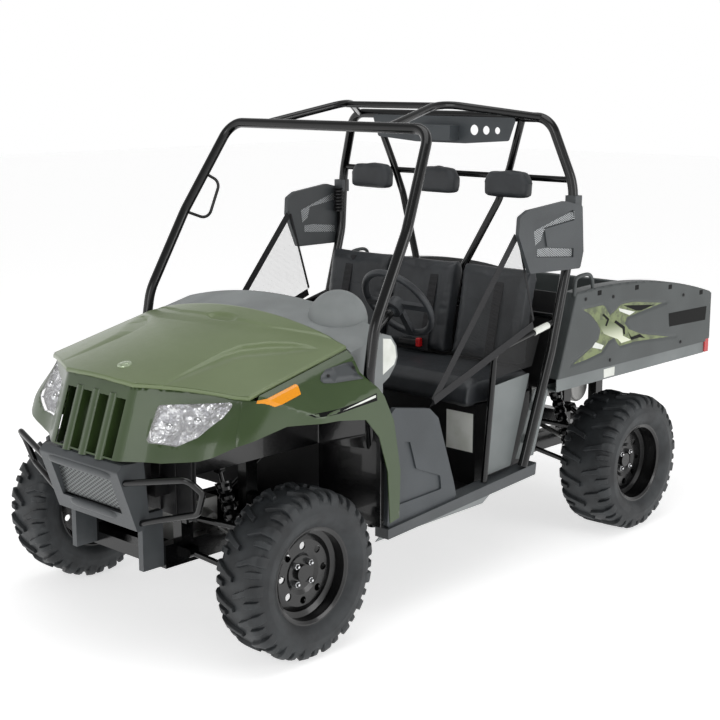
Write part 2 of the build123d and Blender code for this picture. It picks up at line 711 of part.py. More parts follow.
with BuildPart() as rocker_sills:
    add(side_plate(((sill_front, 345), (sill_front, sill_top_front), (sill_rear, sill_top_rear),
                    (sill_rear - 6, 413)), sill_in, sill_out))
    fillet(rocker_sills.edges().filter_by(lambda e: e.center().X > sill_out - 1).sort_by(Axis.Z)[-1], 12)
    both_sides()
save(rocker_sills.part, "rocker_sills")

with BuildPart() as sill_skirts:
    with BuildSketch(Plane.XZ.offset(745)):
        with BuildLine():
            Polyline((640, 316), (708, 400), (704, 400), (636, 316), close=True)
        make_face()
    extrude(amount=-680)
    add(side_plate(((-745, 320), (-745, 344.7), (-66, 344.7 + 679 * 0.0683), (-66, 332)), 600, 720),
        mode=Mode.INTERSECT)
    both_sides()
save(sill_skirts.part, "sill_skirts")

# ---------------------------------------------------------------- seat
back_lean = ((196, cushion_top + seat_gap), (272, cushion_top + seat_gap), (362, 1290), (352, 1336), (312, 1340),
             (286, 1290))
back_spans = ((-632, -216), (-206, 206), (216, 632))
with BuildPart() as seat_pedestal:
    add([block(-pedestal_half, pedestal_half, pedestal_front, pedestal_front + sheet, floor_top, cushion_foot),
         block(-pedestal_half, pedestal_half, pedestal_front, 330, cushion_foot - sheet, cushion_foot)]
        + [block(x - sheet / 2, x + sheet / 2, pedestal_front, 330, floor_top, cushion_foot)
           for x in (2 - pedestal_half, pedestal_half - 2)])
save(seat_pedestal.part, "seat_pedestal")

with BuildPart() as seat_cushion:
    add(side_plate(((-160, 772), (-120, cushion_foot + seat_gap), (330, cushion_foot + seat_gap), (330, 850),
                    (280, cushion_top), (-90, cushion_top), (-150, 856)), -632, 632, 14))
save(seat_cushion.part, "seat_cushion")

with BuildPart() as seat_backs:
    add([side_plate(back_lean, x0, x1, 12) for x0, x1 in back_spans])
save(seat_backs.part, "seat_backs")

# ---------------------------------------------------------------- roll cage
hoop_points = [(705, 150, sill_top(150) + 10), (711, 330, 960), (711, 455, 1400), (711, 473, 1690), (600, 432, 1988),
               (-600, 432, 1988), (-711, 473, 1690), (-711, 455, 1400), (-711, 330, 960),
               (-705, 150, sill_top(150) + 10)]
hoop_bends = [300, 300, 300, 100, 100, 300, 300, 300]
brace_points = [(450, 432, 1988), (360, 462, 1753), (298, 467, 1605), (135, 396, 1264), (110, 394, 1110)]
roof_points = [(372, -384, 1960), (276, 63, 2052), (560, 432, 1988)]
head_bar_z = 1716
head_bar_y = 472
seat_bar_z = 1110
seat_bar_y = 384

with BuildPart() as cage_front_hoop:
    add(tube(leg_points, cage_tube, leg_bends))
    # passenger's grab handle
    add(tube([(-650, -512, 1735), (-622, -440, 1690), (-640, -500, 1520), (-678, -596, 1560)], 7, 40))
save(cage_front_hoop.part, "cage_front_hoop")

with BuildPart() as cage_rear_hoop:
    add([tube(hoop_points, cage_tube, hoop_bends),
         tube([(-711, head_bar_y, head_bar_z), (711, head_bar_y, head_bar_z)], 14),
         tube([(-711, seat_bar_y, seat_bar_z), (711, seat_bar_y, seat_bar_z)], side_tube)])
    add([tube([(side * x, y, z) for x, y, z in brace_points], 17, 150) for side in (-1, 1)])
save(cage_rear_hoop.part, "cage_rear_hoop")

with BuildPart() as cage_roof:
    add(tube(roof_points, 17, 200))
    both_sides()
    add(tube([(-290, 63, 2040), (290, 63, 2040)], 15))
    add([tube(leg_points, cage_tube + seat_gap, leg_bends), tube(hoop_points, cage_tube + seat_gap, hoop_bends)],
        mode=Mode.SUBTRACT)
save(cage_roof.part, "cage_roof")

rest_edge = ((-120, 1628), (120, 1628), (128, 1700), (100, 1748), (0, 1758), (-100, 1748), (-128, 1700))
with BuildPart() as head_restraints:
    for x in (-420, 0, 420):
        with BuildSketch(Plane.XZ.offset(-345)) as outline:
            with BuildLine():
                Polyline(*[(x + dx, z) for dx, z in rest_edge], close=True)
            make_face()
            fillet(outline.vertices(), 20)
        extrude(amount=-60)
        add(block(x - 22, x + 22, 400, head_bar_y - 14 - seat_gap, head_bar_z - 22, head_bar_z + 22))
save(head_restraints.part, "head_restraints")

plate_front = 397
with BuildPart() as overhead_panel:
    with BuildSketch(Plane.XZ.offset(-plate_front)) as outline:
        with BuildLine():
            Polyline((-440, 1985), (440, 1985), (400, 1880), (150, 1862), (-150, 1862), (-400, 1880), close=True)
        make_face()
        fillet(outline.vertices(), 14)
        for x, radius in ((200, 24), (270, 20), (335, 16)):
            with Locations((x, 1925), (-x, 1925)):
                Circle(radius, mode=Mode.SUBTRACT)
    extrude(amount=-5)
    add(block(-110, 110, 330, plate_front + 1, 1875, 1945))
    add([block(x - 12, x + 12, plate_front + 1, 430, 1958, 1982) for x in (-380, -120, 120, 380)])
    add(tube(hoop_points, cage_tube + seat_gap, hoop_bends), mode=Mode.SUBTRACT)
save(overhead_panel.part, "overhead_panel")

# Shoulder guards, outboard of the rear hoop and held to it by clamp blocks
shield_edge = ((62, 1500), (68, 1580), (120, 1606), (366, 1632), (484, 1606), (500, 1400), (480, 1326), (142, 1332))
with BuildPart() as shoulder_guards:
    add(side_plate(shield_edge, 0, 20, 14))
    with BuildSketch(Plane.YZ.offset(20)):
        with BuildLine():
            Polyline((150, 1560), (420, 1590), (430, 1545), (230, 1520), (250, 1440), (430, 1420), (430, 1380),
                     (180, 1400), close=True)
        make_face()
    extrude(amount=-8, mode=Mode.SUBTRACT)
shield_plane = Plane(origin=(734, 470, 0), x_dir=(1, -0.075, 0), z_dir=(0, 0, 1))
shield_turned = shield_plane * Pos(0, -470, 0) * shoulder_guards.part
with BuildPart() as shoulder_guards:
    add(shield_turned)
    add(block(690, 745, 440, 490, 1590, 1650))
    add(tube(hoop_points, cage_tube + seat_gap, hoop_bends), mode=Mode.SUBTRACT)
    both_sides()
save(shoulder_guards.part, "shoulder_guards")

# ---------------------------------------------------------------- hip bars, side panels, nets and belts
hip_points = [(680, -93, sill_top(-93) + 4), (680, -36, 985), (680, -5, 1012), (702, 376, 1092)]
hip_plane_x = 662
with BuildPart() as hip_bars:
    add(tube(hip_points, side_tube, [20, 20]))
    add(tube(hoop_points, cage_tube + seat_gap, hoop_bends), mode=Mode.SUBTRACT)
    both_sides()
save(hip_bars.part, "hip_bars")

with BuildPart() as side_panels:
    add([side_plate(((-90, 458), (-50, 850), (238, 872), (112, 470)), hip_plane_x, hip_plane_x + 3.7, 6),
         side_plate(((150, 490), (282, 484), (388, 776), (280, 790)), hip_plane_x, hip_plane_x + 3.7, 6)])
    add([block(hip_plane_x + 3, 700, 190, 230, 560, 590), block(hip_plane_x + 3, 700, 246, 290, 700, 730)])
    add(tube(hoop_points, cage_tube + seat_gap, hoop_bends), mode=Mode.SUBTRACT)
    both_sides()
save(side_panels.part, "side_panels")

with BuildPart() as side_nets:
    add([side_plate(((76, 1520), (-490, 842), (215, 1112)), 701, 703.3, 3),
         side_plate(((-44, 884), (-36, 985), (-5, 1011), (330, 1080), (256, 900)), hip_plane_x, hip_plane_x + 3.7, 6)])
    both_sides()
save(side_nets.part, "side_nets")

with BuildPart() as seat_belts:
    add([side_plate(((201.3, 920), (282.6, 1290), (452, 1700), (455, 1700), (285.6, 1290), (204.3, 920)), x, x + 48)
         for x in (-494, 60, 446)])
save(seat_belts.part, "seat_belts")

# ---------------------------------------------------------------- cargo box
# A tub with outer side panels, strips below them, lamps at the rear corners and a tailgate.
tub_wall = 6
panel_in = tub_inner_x + tub_wall + seat_gap
panel_wall = 4
strip_foot = 765
strip_head = box_foot_z - seat_gap
strip_x = 708
lamp_front = box_rear_y - 42
crossbar_ys = (520, 980, 1440)
gate_half = tub_inner_x - 4
gate_top = 1082
gate_pin = 6
gate_lug_xs = (-480, 480)


def side_space(inset, x0, x1):
    """Box side outline from x0 to x1: a leaning front edge, and an arched top that falls to the rear."""
    with BuildPart() as space:
        with BuildSketch(Plane.YZ.offset(x0)):
            with BuildLine():
                top = ThreePointArc((box_front_top_y, box_top_z), (940, 1211), (box_rear_y - 20, 1086))
                Polyline(top @ 1, (box_rear_y, 1074), (box_rear_y, box_foot_z), (box_front_foot_y, box_foot_z),
                         top @ 0)
            make_face()
            if inset > 0:
                offset(amount=-inset)
        extrude(amount=x1 - x0)
    return space.part


with BuildPart() as box_side_panels:
    add(side_space(0, panel_in, box_outer_x))
    fillet(box_side_panels.edges().filter_by(lambda e: e.center().X > box_outer_x - 1 and e.center().Z > 860), 8)
    add(side_space(panel_wall, panel_in - 5, box_outer_x - panel_wall), mode=Mode.SUBTRACT)
    add(block(panel_in - 5, box_outer_x - panel_wall, box_front_foot_y + 20, box_rear_y - panel_wall,
              box_foot_z - 5, box_foot_z + panel_wall + 1), mode=Mode.SUBTRACT)
    add(block(panel_in - 5, box_outer_x + 5, lamp_front - seat_gap, box_rear_y + 5, box_foot_z - 5, box_foot_z + 12),
        mode=Mode.SUBTRACT)
    both_sides()
save(box_side_panels.part, "box_side_panels")

floor_rear = gate_inner_y - 6
with BuildPart() as tub_side:
    add(side_space(6, tub_inner_x, tub_inner_x + tub_wall))
    add(block(0, 900, 300, floor_rear, 700, 1300), mode=Mode.INTERSECT)
    add(block(tub_inner_x, tub_inner_x + tub_wall, box_front_foot_y + 12, floor_rear, tub_floor_z,
              box_foot_z + 10))
with BuildPart() as cargo_tub:
    lean = (box_front_top_y - box_front_foot_y) / (box_top_z - box_foot_z)
    wall_foot_y = box_front_foot_y + 8 + lean * (tub_floor_z - box_foot_z)
    wall_top_y = box_front_top_y + 4
    add([block(-tub_inner_x - tub_wall, tub_inner_x + tub_wall, wall_foot_y, floor_rear, tub_floor_z,
               tub_floor_z + tub_wall),
         side_plate(((wall_foot_y, tub_floor_z), (wall_top_y, 1196), (wall_top_y + 6, 1196),
                     (wall_foot_y + 7, tub_floor_z)), -tub_inner_x - tub_wall, tub_inner_x + tub_wall)])
    add(tub_side.part)
    both_sides()
    add([block(-tub_inner_x, tub_inner_x, y - 20, y + 20, bed_rail_top + seat_gap, tub_floor_z) for y in crossbar_ys])
    add([block(x - 14, x + 14, gate_pivot_y - 70, gate_pivot_y - 20, tub_floor_z - 20, tub_floor_z)
         for x in gate_lug_xs])
    add([block(x + side - 4, x + side + 4, gate_pivot_y - 60, gate_pivot_y + 10, tub_floor_z - 18, gate_pivot_z + 8)
         for x in gate_lug_xs for side in (-22, 22)])
    add([block(x - 26, x + 26, gate_pivot_y - 66, gate_pivot_y - 22, tub_floor_z - 24, tub_floor_z)
         for x in gate_lug_xs])
    add([pin(x - 22, x + 22, gate_pivot_y, gate_pivot_z, gate_pin) for x in gate_lug_xs])
    # pivot lugs between the frame's plates
    lug_in = pivot_lug_xs[0] + 4 + 2
    lug_out = pivot_lug_xs[1] - 4 - 2
    for side in (-1, 1):
        x0, x1 = sorted((side * lug_in, side * lug_out))
        add([block(x0, x1, bed_pivot_y - 18, bed_pivot_y + 18, bed_pivot_z, tub_floor_z),
             pin(x0, x1, bed_pivot_y, bed_pivot_z, 18)])
        add(pin(x0, x1, bed_pivot_y, bed_pivot_z, pivot_pin + seat_gap), mode=Mode.SUBTRACT)
save(cargo_tub.part, "cargo_tub")

with BuildPart() as box_rails:
    add([block(strip_x - 4, strip_x, box_front_foot_y + 4, lamp_front - seat_gap, strip_foot, strip_head),
         block(tub_inner_x, strip_x, box_front_foot_y + 4, lamp_front - seat_gap, strip_foot, strip_foot + 4),
         block(tub_inner_x, tub_inner_x + 4, box_front_foot_y + 4, lamp_front - seat_gap, strip_foot,
               tub_floor_z - seat_gap)])
    both_sides()
save(box_rails.part, "box_rails")

with BuildPart() as tail_lamps:
    add(block(panel_in, strip_x + 6, lamp_front, box_rear_y, strip_foot + 3, box_foot_z + 12 - seat_gap))
    fillet(tail_lamps.edges().filter_by(lambda e: e.center().X > strip_x and e.center().Y > box_rear_y - 5), 6)
    both_sides()
save(tail_lamps.part, "tail_lamps")

with BuildPart() as tailgate:
    add(block(-gate_half, gate_half, gate_inner_y, gate_inner_y + gate_thickness, gate_pivot_z + 8, gate_top))
    fillet(tailgate.edges().filter_by(Axis.X).sort_by(Axis.Z)[-2:], 8)
    with BuildSketch(Plane.XZ.offset(-gate_inner_y - gate_thickness)):
        with GridLocations(gate_half * 2 / 3, 1, 3, 1):
            with Locations((0, (gate_pivot_z + gate_top) / 2 + 4)):
                RectangleRounded(gate_half * 2 / 3 - 60, 180, 20)
    extrude(amount=-8, mode=Mode.SUBTRACT)
    add([block(x - 32, x + 32, gate_pivot_y - 18, gate_pivot_y + 18, gate_pivot_z - 14, gate_pivot_z + 20)
         for x in gate_lug_xs], mode=Mode.SUBTRACT)
    add([block(x - 16, x + 16, gate_pivot_y - 10, gate_pivot_y + 10, gate_pivot_z, gate_pivot_z + 22)
         for x in gate_lug_xs] + [pin(x - 16, x + 16, gate_pivot_y, gate_pivot_z, 12) for x in gate_lug_xs])
    add([pin(x - 17, x + 17, gate_pivot_y, gate_pivot_z, gate_pin + seat_gap) for x in gate_lug_xs],
        mode=Mode.SUBTRACT)
save(tailgate.part, "tailgate")

# ---------------------------------------------------------------- bumper and radiator
bumper_half = 250
bumper_top = nose_foot_z - seat_gap
bumper_foot = 487
bumper_wall = 4
bumper_edge = ((-1725, bumper_top - 24), (-1700, bumper_top), (-1600, bumper_top), (-1580, 520), (-1610, bumper_foot),
               (-1640, bumper_foot))
with BuildPart() as bumper_shell:
    add(side_plate(bumper_edge, -bumper_half, bumper_half, 8))
    add([side_plate(((-1800, 690), (-1560, 700), (-1560, 560), (-1800, 540)), -190, 190),
         side_plate(((-1690, 735), (-1590, 735), (-1590, 500), (-1640, 510)), 8 - bumper_half, bumper_half - 8)],
        mode=Mode.SUBTRACT)
    add([block(x - 14, x + 14, -1600, frame_front - seat_gap, rail_bottom + 8, 540) for x in (-rail_x, rail_x)])
save(bumper_shell.part, "bumper_shell")

with BuildPart() as bumper_grille:
    add(side_plate(((-1683, 689), (-1679, 689), (-1646, 561), (-1650, 561)), -189.7, 189.7))
save(bumper_grille.part, "bumper_grille")

bar_points = [(bumper_half - 10, -1692, 688), (535, -1625, 745), (565, -1580, 690), (520, -1568, 600),
              (bumper_half - 10, -1620, 515)]
with BuildPart() as bumper_tubes:
    add(tube(bar_points, 12.5, [40, 30, 40]))
    add(block(0, bumper_half + seat_gap, -1800, -1500, 400, 900), mode=Mode.SUBTRACT)
    both_sides()
save(bumper_tubes.part, "bumper_tubes")

with BuildPart() as radiator:
    add(block(-rail_in + 1, rail_in - 1, -1560, -1520, 600, 960))
    add([block(x0, x1, -1540, axle_post_ys[0] - half_post - seat_gap, 600, 660)
         for x0, x1 in ((-rail_out, 1 - rail_in), (rail_in - 1, rail_out))])
save(radiator.part, "radiator")
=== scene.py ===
import math

import bmesh
import bpy
from mathutils import Matrix, Vector
from mathutils.bvhtree import BVHTree


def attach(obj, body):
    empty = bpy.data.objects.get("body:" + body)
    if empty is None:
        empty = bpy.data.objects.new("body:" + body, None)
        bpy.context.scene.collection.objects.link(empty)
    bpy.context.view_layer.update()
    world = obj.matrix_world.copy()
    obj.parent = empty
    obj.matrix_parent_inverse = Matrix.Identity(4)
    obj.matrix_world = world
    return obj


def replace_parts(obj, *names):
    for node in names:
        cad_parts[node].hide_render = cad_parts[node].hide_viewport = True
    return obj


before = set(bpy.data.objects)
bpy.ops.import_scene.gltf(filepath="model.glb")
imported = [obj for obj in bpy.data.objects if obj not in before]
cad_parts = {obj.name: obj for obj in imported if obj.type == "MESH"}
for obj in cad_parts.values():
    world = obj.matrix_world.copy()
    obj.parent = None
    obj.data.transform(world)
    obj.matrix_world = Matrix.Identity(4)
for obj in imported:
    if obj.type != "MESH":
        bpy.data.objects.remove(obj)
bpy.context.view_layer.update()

# Camera ---------------------------------------------------
# The eye of someone standing ahead of the vehicle's left front wheel, through a short telephoto lens.
camera_place = Vector((4.333, -4.739, 2.171))
camera_aim = Vector((-0.6735, 0.7122, -0.1982))
camera_data = bpy.data.cameras.new("camera")
camera_data.sensor_width = 36
camera_data.lens = 70.35
camera_data.clip_end = 60
camera = bpy.data.objects.new("camera", camera_data)
bpy.context.collection.objects.link(camera)
camera.location = camera_place
camera.rotation_mode = "QUATERNION"
camera.rotation_quaternion = camera_aim.to_track_quat("-Z", "Y")
bpy.context.scene.camera = camera


# Studio ---------------------------------------------------
# A pale floor, a white surround and three large soft lamps: one overhead, one ahead and one from the left.
def maths(operation, swapped=False):
    """A method of Shade that adds one Math node on its own value and any other."""
    def method(self, *others):
        values = (*others, self) if swapped else (self, *others)
        return self.node("Math", {"operation": operation}, dict(enumerate(values)))
    return method


class Shade:
    """One value in a node tree: operators add Math nodes, and node() adds any other."""

    def __init__(self, tree, socket=None):
        self.tree = tree
        self.socket = socket

    def node(self, kind, settings, inputs, output=0):
        """Add a node: first its settings, then the values or links of its sockets, by name or number."""
        made = self.tree.nodes.new("ShaderNode" + kind)
        for name, value in settings.items():
            setattr(made, name, value)
        for name, value in inputs.items():
            if isinstance(value, Shade):
                self.tree.links.new(value.socket, made.inputs[name])
            else:
                made.inputs[name].default_value = value
        return Shade(self.tree, made.outputs[output])

    __add__ = __radd__ = maths("ADD")
    __sub__ = maths("SUBTRACT")
    __rsub__ = maths("SUBTRACT", swapped=True)
    __mul__ = __rmul__ = maths("MULTIPLY")
    __lt__ = maths("LESS_THAN")
    __gt__ = maths("GREATER_THAN")
    __abs__ = maths("ABSOLUTE")
    fraction = maths("FRACT")
    sine = maths("SINE")

    def axis(self, number):
        """One of the three parts of a vector."""
        return self.node("SeparateXYZ", {}, {"Vector": self}, number)

    def ramp(self, low, high):
        """0 below low and 1 above high, with a soft step between them."""
        return self.node("MapRange", {"interpolation_type": "SMOOTHSTEP"},
                         {"Value": self, "From Min": low, "From Max": high})

    def mix(self, colour_a, colour_b):
        """colour_a where this value is 0 and colour_b where it is 1."""
        return self.node("Mix", {"data_type": "RGBA"}, {0: self, 6: colour_a, 7: colour_b}, 2)


def rgb(red, green, blue):
    """A colour given in the screen's 0 to 255, as Blender's linear colour."""
    return tuple((value / 255) ** 2.2 for value in (red, green, blue)) + (1,)


def new_material(name, colour, roughness, metallic=0.0, coat=0.0, specular=0.5):
    """A material with one Principled shader. Returns it with its place and its shader."""
    made = bpy.data.materials.new(name)
    made.use_nodes = True
    shader = made.node_tree.nodes["Principled BSDF"]
    for socket, value in (("Base Color", colour), ("Roughness", roughness), ("Metallic", metallic),
                          ("Coat Weight", coat), ("Specular IOR Level", specular)):
        shader.inputs[socket].default_value = value
    return made, Shade(made.node_tree).node("TexCoord", {}, {}, "Object"), shader


floor_colour = (0.8, 0.8, 0.8, 1)
floor_glow = 0.62
bpy.ops.object.select_all(action="DESELECT")
bpy.ops.mesh.primitive_plane_add(size=60)
floor = bpy.context.object
floor.name = "studio_floor"
floor_paint, _, floor_shader = new_material("studio_floor", floor_colour, 0.75)
floor.data.materials.append(floor_paint)
floor_shader.inputs["Emission Color"].default_value = (1, 1, 1, 1)
floor_shader.inputs["Emission Strength"].default_value = floor_glow

world = bpy.data.worlds.new("surround")
world.use_nodes = True
sky = Shade(world.node_tree)
height = sky.node("TexCoord", {}, {}, "Generated").axis(2)
glow = sky.node("MapRange", {}, {"Value": height, "From Min": 0.12, "From Max": 0.5, "To Min": 1.0, "To Max": 0.35})
background = world.node_tree.nodes["Background"]
background.inputs["Color"].default_value = (1, 1, 1, 1)
world.node_tree.links.new(glow.socket, background.inputs["Strength"])
bpy.context.scene.world = world
bpy.context.scene.view_settings.view_transform = "Standard"


def soft_lamp(name, place, target, size, power):
    """A square area lamp aimed at a point."""
    data = bpy.data.lights.new(name, "AREA")
    data.size = size
    data.energy = power
    lamp = bpy.data.objects.new(name, data)
    bpy.context.collection.objects.link(lamp)
    lamp.location = place
    lamp.rotation_mode = "QUATERNION"
    lamp.rotation_quaternion = (Vector(target) - Vector(place)).to_track_quat("-Z", "Y")


soft_lamp("lamp_top", (0.5, -0.5, 6), (0, 0, 0.8), 5, 120)
soft_lamp("lamp_front", (2, -7, 3.2), (0, -0.5, 0.8), 3, 60)
soft_lamp("lamp_left", (7, 1.5, 2.8), (0, 0, 0.9), 3, 80)

# Front bodywork -------------------------------------------
# Green mouldings coloured through, satin on top; the nose, fenders and grille bars take a darker copy of the olive,
# painted shade for faces that turn forward and down. The hood is a fine grid with its two valleys, its finger pull
# and a raised band at the rear. Nose, fenders and lamps are finely cut copies that carry the full cheeks below the
# lamps.
def feed(shader, name, value):
    """Link a value to one of the shader's sockets."""
    value.tree.links.new(value.socket, shader.inputs[name])


def noise(place, scale, detail=3, rough=0.55):
    """Smooth random value from 0 to 1, scale cells to the metre."""
    return place.node("TexNoise", {}, {"Vector": place, "Scale": scale, "Detail": detail, "Roughness": rough})


def bump(shader, height, depth):
    """Raise the surface by height times depth metres."""
    feed(shader, "Normal", height.node("Bump", {}, {"Height": height, "Distance": depth, "Strength": 1}))


def finish(name, shade, roughness, grain, depth, detail=2, patches=None, wear=None, **kind):
    """A material of one shade with a fine grain, cells to the metre and metres deep, on its surface.

    patches holds a scale and the two shades that its colour drifts between, wear a scale, a spread and the least
    roughness. kind passes metallic, coat and specular on.
    """
    made, place, shader = new_material(name, rgb(*shade), roughness, **kind)
    if patches is not None:
        scale, dark, light = patches
        feed(shader, "Base Color", noise(place, scale).ramp(0.3, 0.7).mix(rgb(*dark), rgb(*light)))
    if wear is not None:
        scale, spread, least = wear
        feed(shader, "Roughness", noise(place, scale) * spread + least)
    bump(shader, noise(place, grain, detail), depth)
    return made


olive = finish("olive_moulding", (108, 122, 86), 0.34, 900, 0.00012, patches=(3, (105, 119, 83), (111, 125, 89)),
               wear=(30, 0.1, 0.3), coat=0.2)
# the olive moulding darkened: painted shade for the nose, fenders and bars, whose faces turn forward and down
shaded_green = finish("shaded_green_moulding", (57, 74, 42), 0.3, 900, 0.0001, patches=(3, (54, 71, 39), (60, 77, 45)),
              wear=(30, 0.1, 0.27), coat=0.3)


def smooth_step(low, high, value):
    """0 below low and 1 above high, with a soft step between them."""
    part = min(1, max(0, (value - low) / (high - low)))
    return part * part * (3 - 2 * part)


def finish_mesh(name, bm, material, body="chassis", corner=35):
    """Turn a bmesh into a shaded piece that rides on a body, sharp only where faces meet at a steep angle."""
    mesh = bpy.data.meshes.new(name)
    bm.to_mesh(mesh)
    bm.free()
    made = bpy.data.objects.new(name, mesh)
    bpy.context.collection.objects.link(made)
    mesh.materials.append(material)
    mesh.polygons.foreach_set("use_smooth", [True] * len(mesh.polygons))
    mesh.set_sharp_from_angle(angle=math.radians(corner))
    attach(made, body)
    return made


def merged_copy(node):
    """A CAD node's mesh as a bmesh, with its loose triangles merged."""
    bm = bmesh.new()
    bm.from_mesh(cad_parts[node].data)
    bmesh.ops.remove_doubles(bm, verts=bm.verts, dist=0.00005)
    return bm


def cut_fine(bm, **steps):
    """Cut a mesh by planes across x, y or z, one step apart."""
    for axis, step in steps.items():
        normal = Vector([axis == name for name in "xyz"])
        places = [vert.co.dot(normal) for vert in bm.verts]
        for cut in range(math.ceil(min(places) / step), math.floor(max(places) / step) + 1):
            bmesh.ops.bisect_plane(bm, geom=bm.verts[:] + bm.edges[:] + bm.faces[:], dist=0.00001,
                                   plane_co=normal * (cut * step), plane_no=normal)


def box_mesh(bm, low, high):
    """Add a box between two corners."""
    made = bmesh.ops.create_cube(bm, size=1)
    size = Vector(high) - Vector(low)
    middle = (Vector(high) + Vector(low)) / 2
    for vert in made["verts"]:
        vert.co = Vector(vert.co[i] * size[i] + middle[i] for i in range(3))


def join_rings(bm, rings):
    """Close the walls between rings of points and both ends, with every face turned outwards."""
    for lower, upper in zip(rings, rings[1:]):
        for i in range(len(lower)):
            j = (i + 1) % len(lower)
            bm.faces.new((lower[i], lower[j], upper[j], upper[i]))
    bm.faces.new(rings[0])
    bm.faces.new(list(reversed(rings[-1])))
    bmesh.ops.recalc_face_normals(bm, faces=bm.faces[:])


def with_modifier(made, kind, **settings):
    """Apply one modifier to a piece."""
    modifier = made.modifiers.new(kind.lower(), kind)
    for name, value in settings.items():
        setattr(modifier, name, value)
    bpy.ops.object.select_all(action="DESELECT")
    bpy.context.view_layer.objects.active = made
    made.select_set(True)
    bpy.ops.object.modifier_apply(modifier=modifier.name)


# hood: the crown's arc and fall, the nose's slope, the finger pull, and the front edge of the plan
crown_radius = 2.2756
crown_top, crown_top_y = 1.27, -0.69
hood_rise = 0.229  # up for each metre towards the rear
nose_slope = 0.345  # back for each metre up
hood_width, hood_rear = 1.224, -0.882
pull_x, pull_y, pull_depth = 0.009, -0.989, 0.012
band_height = 0.004
hood_edge_points = ((0, -1.629), (0.12, -1.627), (0.21, -1.617), (0.31, -1.562), (0.44, -1.487), (0.572, -1.409),
                    (0.612, -1.372))
crease = ((0.318, -1.575, 0.0), (0.31, -1.469, 0.004), (0.304, -1.341, 0.009), (0.3, -1.233, 0.014),
          (0.314, -1.156, 0.018), (0.376, -1.076, 0.019), (0.45, -1.018, 0.015), (0.512, -0.99, 0.006))
fold = ((0, -0.992), (0.1, -0.988), (0.28, -0.972), (0.4, -0.93), (0.469, -0.9), (0.612, -0.86))


def along(points, value):
    """Read a table of (place, height) pairs between its rows."""
    for (place_a, height_a), (place_b, height_b) in zip(points, points[1:]):
        if value <= place_b:
            return height_a + (height_b - height_a) * (value - place_a) / (place_b - place_a)
    return points[-1][1]


def valley(x, y):
    """Depth of the hood's valley: a steep wall along the crease and a gentle slope outboard of it."""
    nearest = None
    for (xa, ya, depth_a), (xb, yb, depth_b) in zip(crease, crease[1:]):
        run = Vector((xb - xa, yb - ya))
        part = min(1, max(0, (Vector((x - xa, y - ya)).dot(run)) / run.length_squared))
        gap = Vector((x - xa, y - ya)) - part * run
        side = 1 if run.y * gap.x - run.x * gap.y > 0 else -1
        if nearest is None or gap.length < abs(nearest[0]):
            nearest = (side * gap.length, depth_a + part * (depth_b - depth_a))
    away, depth = nearest
    wall = smooth_step(-0.012, 0.004, away)
    slope = 1 - smooth_step(0, 0.022 + 5 * depth, away)
    return depth * wall * slope


def hood_height(x, y):
    """Height of the hood's outer skin over a place in plan."""
    side = abs(x)
    arc = crown_top - crown_radius + math.sqrt(crown_radius ** 2 - side ** 2)
    height = arc + hood_rise * (y - crown_top_y) - valley(side, y)
    pull = ((x - pull_x) / 0.092) ** 2 + ((y - pull_y) / 0.033) ** 2
    height -= pull_depth * (1 - smooth_step(0.3, 1.0, pull))
    return height + band_height * smooth_step(-0.006, 0.006, y - along(fold, side))


hood_columns = 204
hood_rows = 120
bm = bmesh.new()
rows = []
for row in range(hood_rows + 1):
    line = []
    for column in range(hood_columns + 1):
        x = hood_width * (column / hood_columns - 0.5)
        front = along(hood_edge_points, abs(x)) + nose_slope * (hood_height(x, -1.55) - 1.04)
        y = front + (hood_rear - front) * row / hood_rows
        line.append(bm.verts.new((x, y, hood_height(x, y))))
    rows.append(line)
for lower, upper in zip(rows, rows[1:]):
    for a, b, c, d in zip(lower, lower[1:], upper[1:], upper):
        bm.faces.new((a, b, c, d))
# the turned-down lip along the front and both sides
lip_drop, lip_round, hood_thickness = 0.016, 0.006, 0.004
rim_line = [line[0] for line in reversed(rows)] + rows[0][1:] + [line[-1] for line in rows[1:]]
turned = [bm.verts.new(vert.co + Vector((0, 0, -lip_drop))) for vert in rim_line]
for (a, b), (c, d) in zip(zip(rim_line, rim_line[1:]), zip(turned, turned[1:])):
    bm.faces.new((a, c, d, b))
bmesh.ops.recalc_face_normals(bm, faces=bm.faces[:])
lip = set(rim_line)
lip_edges = [edge for edge in bm.edges if edge.verts[0] in lip and edge.verts[1] in lip]
bmesh.ops.bevel(bm, geom=lip_edges, offset=lip_round, segments=3, profile=0.5, affect="EDGES")
hood = finish_mesh("hood_skin", bm, olive, "hood", 50)
with_modifier(hood, "SOLIDIFY", thickness=hood_thickness, offset=-1)
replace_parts(hood, "hood")

bm = bmesh.new()
badge = bmesh.ops.create_cone(bm, segments=40, radius1=0.03, radius2=0.027, depth=0.006, cap_ends=True)
bmesh.ops.create_uvsphere(bm, u_segments=32, v_segments=12, radius=0.019)
for vert in bm.verts:
    if vert not in badge["verts"]:
        vert.co.z = vert.co.z * 0.16 + 0.004
bmesh.ops.rotate(bm, verts=bm.verts, matrix=Matrix.Rotation(math.atan(hood_rise), 3, "X"))
badge_x, badge_y = 0.034, -1.511
bmesh.ops.translate(bm, verts=bm.verts, vec=(badge_x, badge_y, hood_height(badge_x, badge_y) + 0.002))
badge_paint = finish("pale_badge", (176, 190, 160), 0.25, 700, 0.0001, metallic=0.4, coat=0.4)
finish_mesh("hood_badge", bm, badge_paint, "hood")
cheek_depth = 0.07


def fill_cheeks(bm):
    """Push the front body forward round the lower half of the lamps."""
    for vert in bm.verts:
        side = abs(vert.co.x)
        across = smooth_step(0.29, 0.56, side) * (1 - smooth_step(0.62, 0.738, side))
        up = smooth_step(0.64, 0.8, vert.co.z) * (1 - smooth_step(0.85, 1.015, vert.co.z))
        vert.co.y -= cheek_depth * across * up * (1 - smooth_step(-1.33, -1.05, vert.co.y))


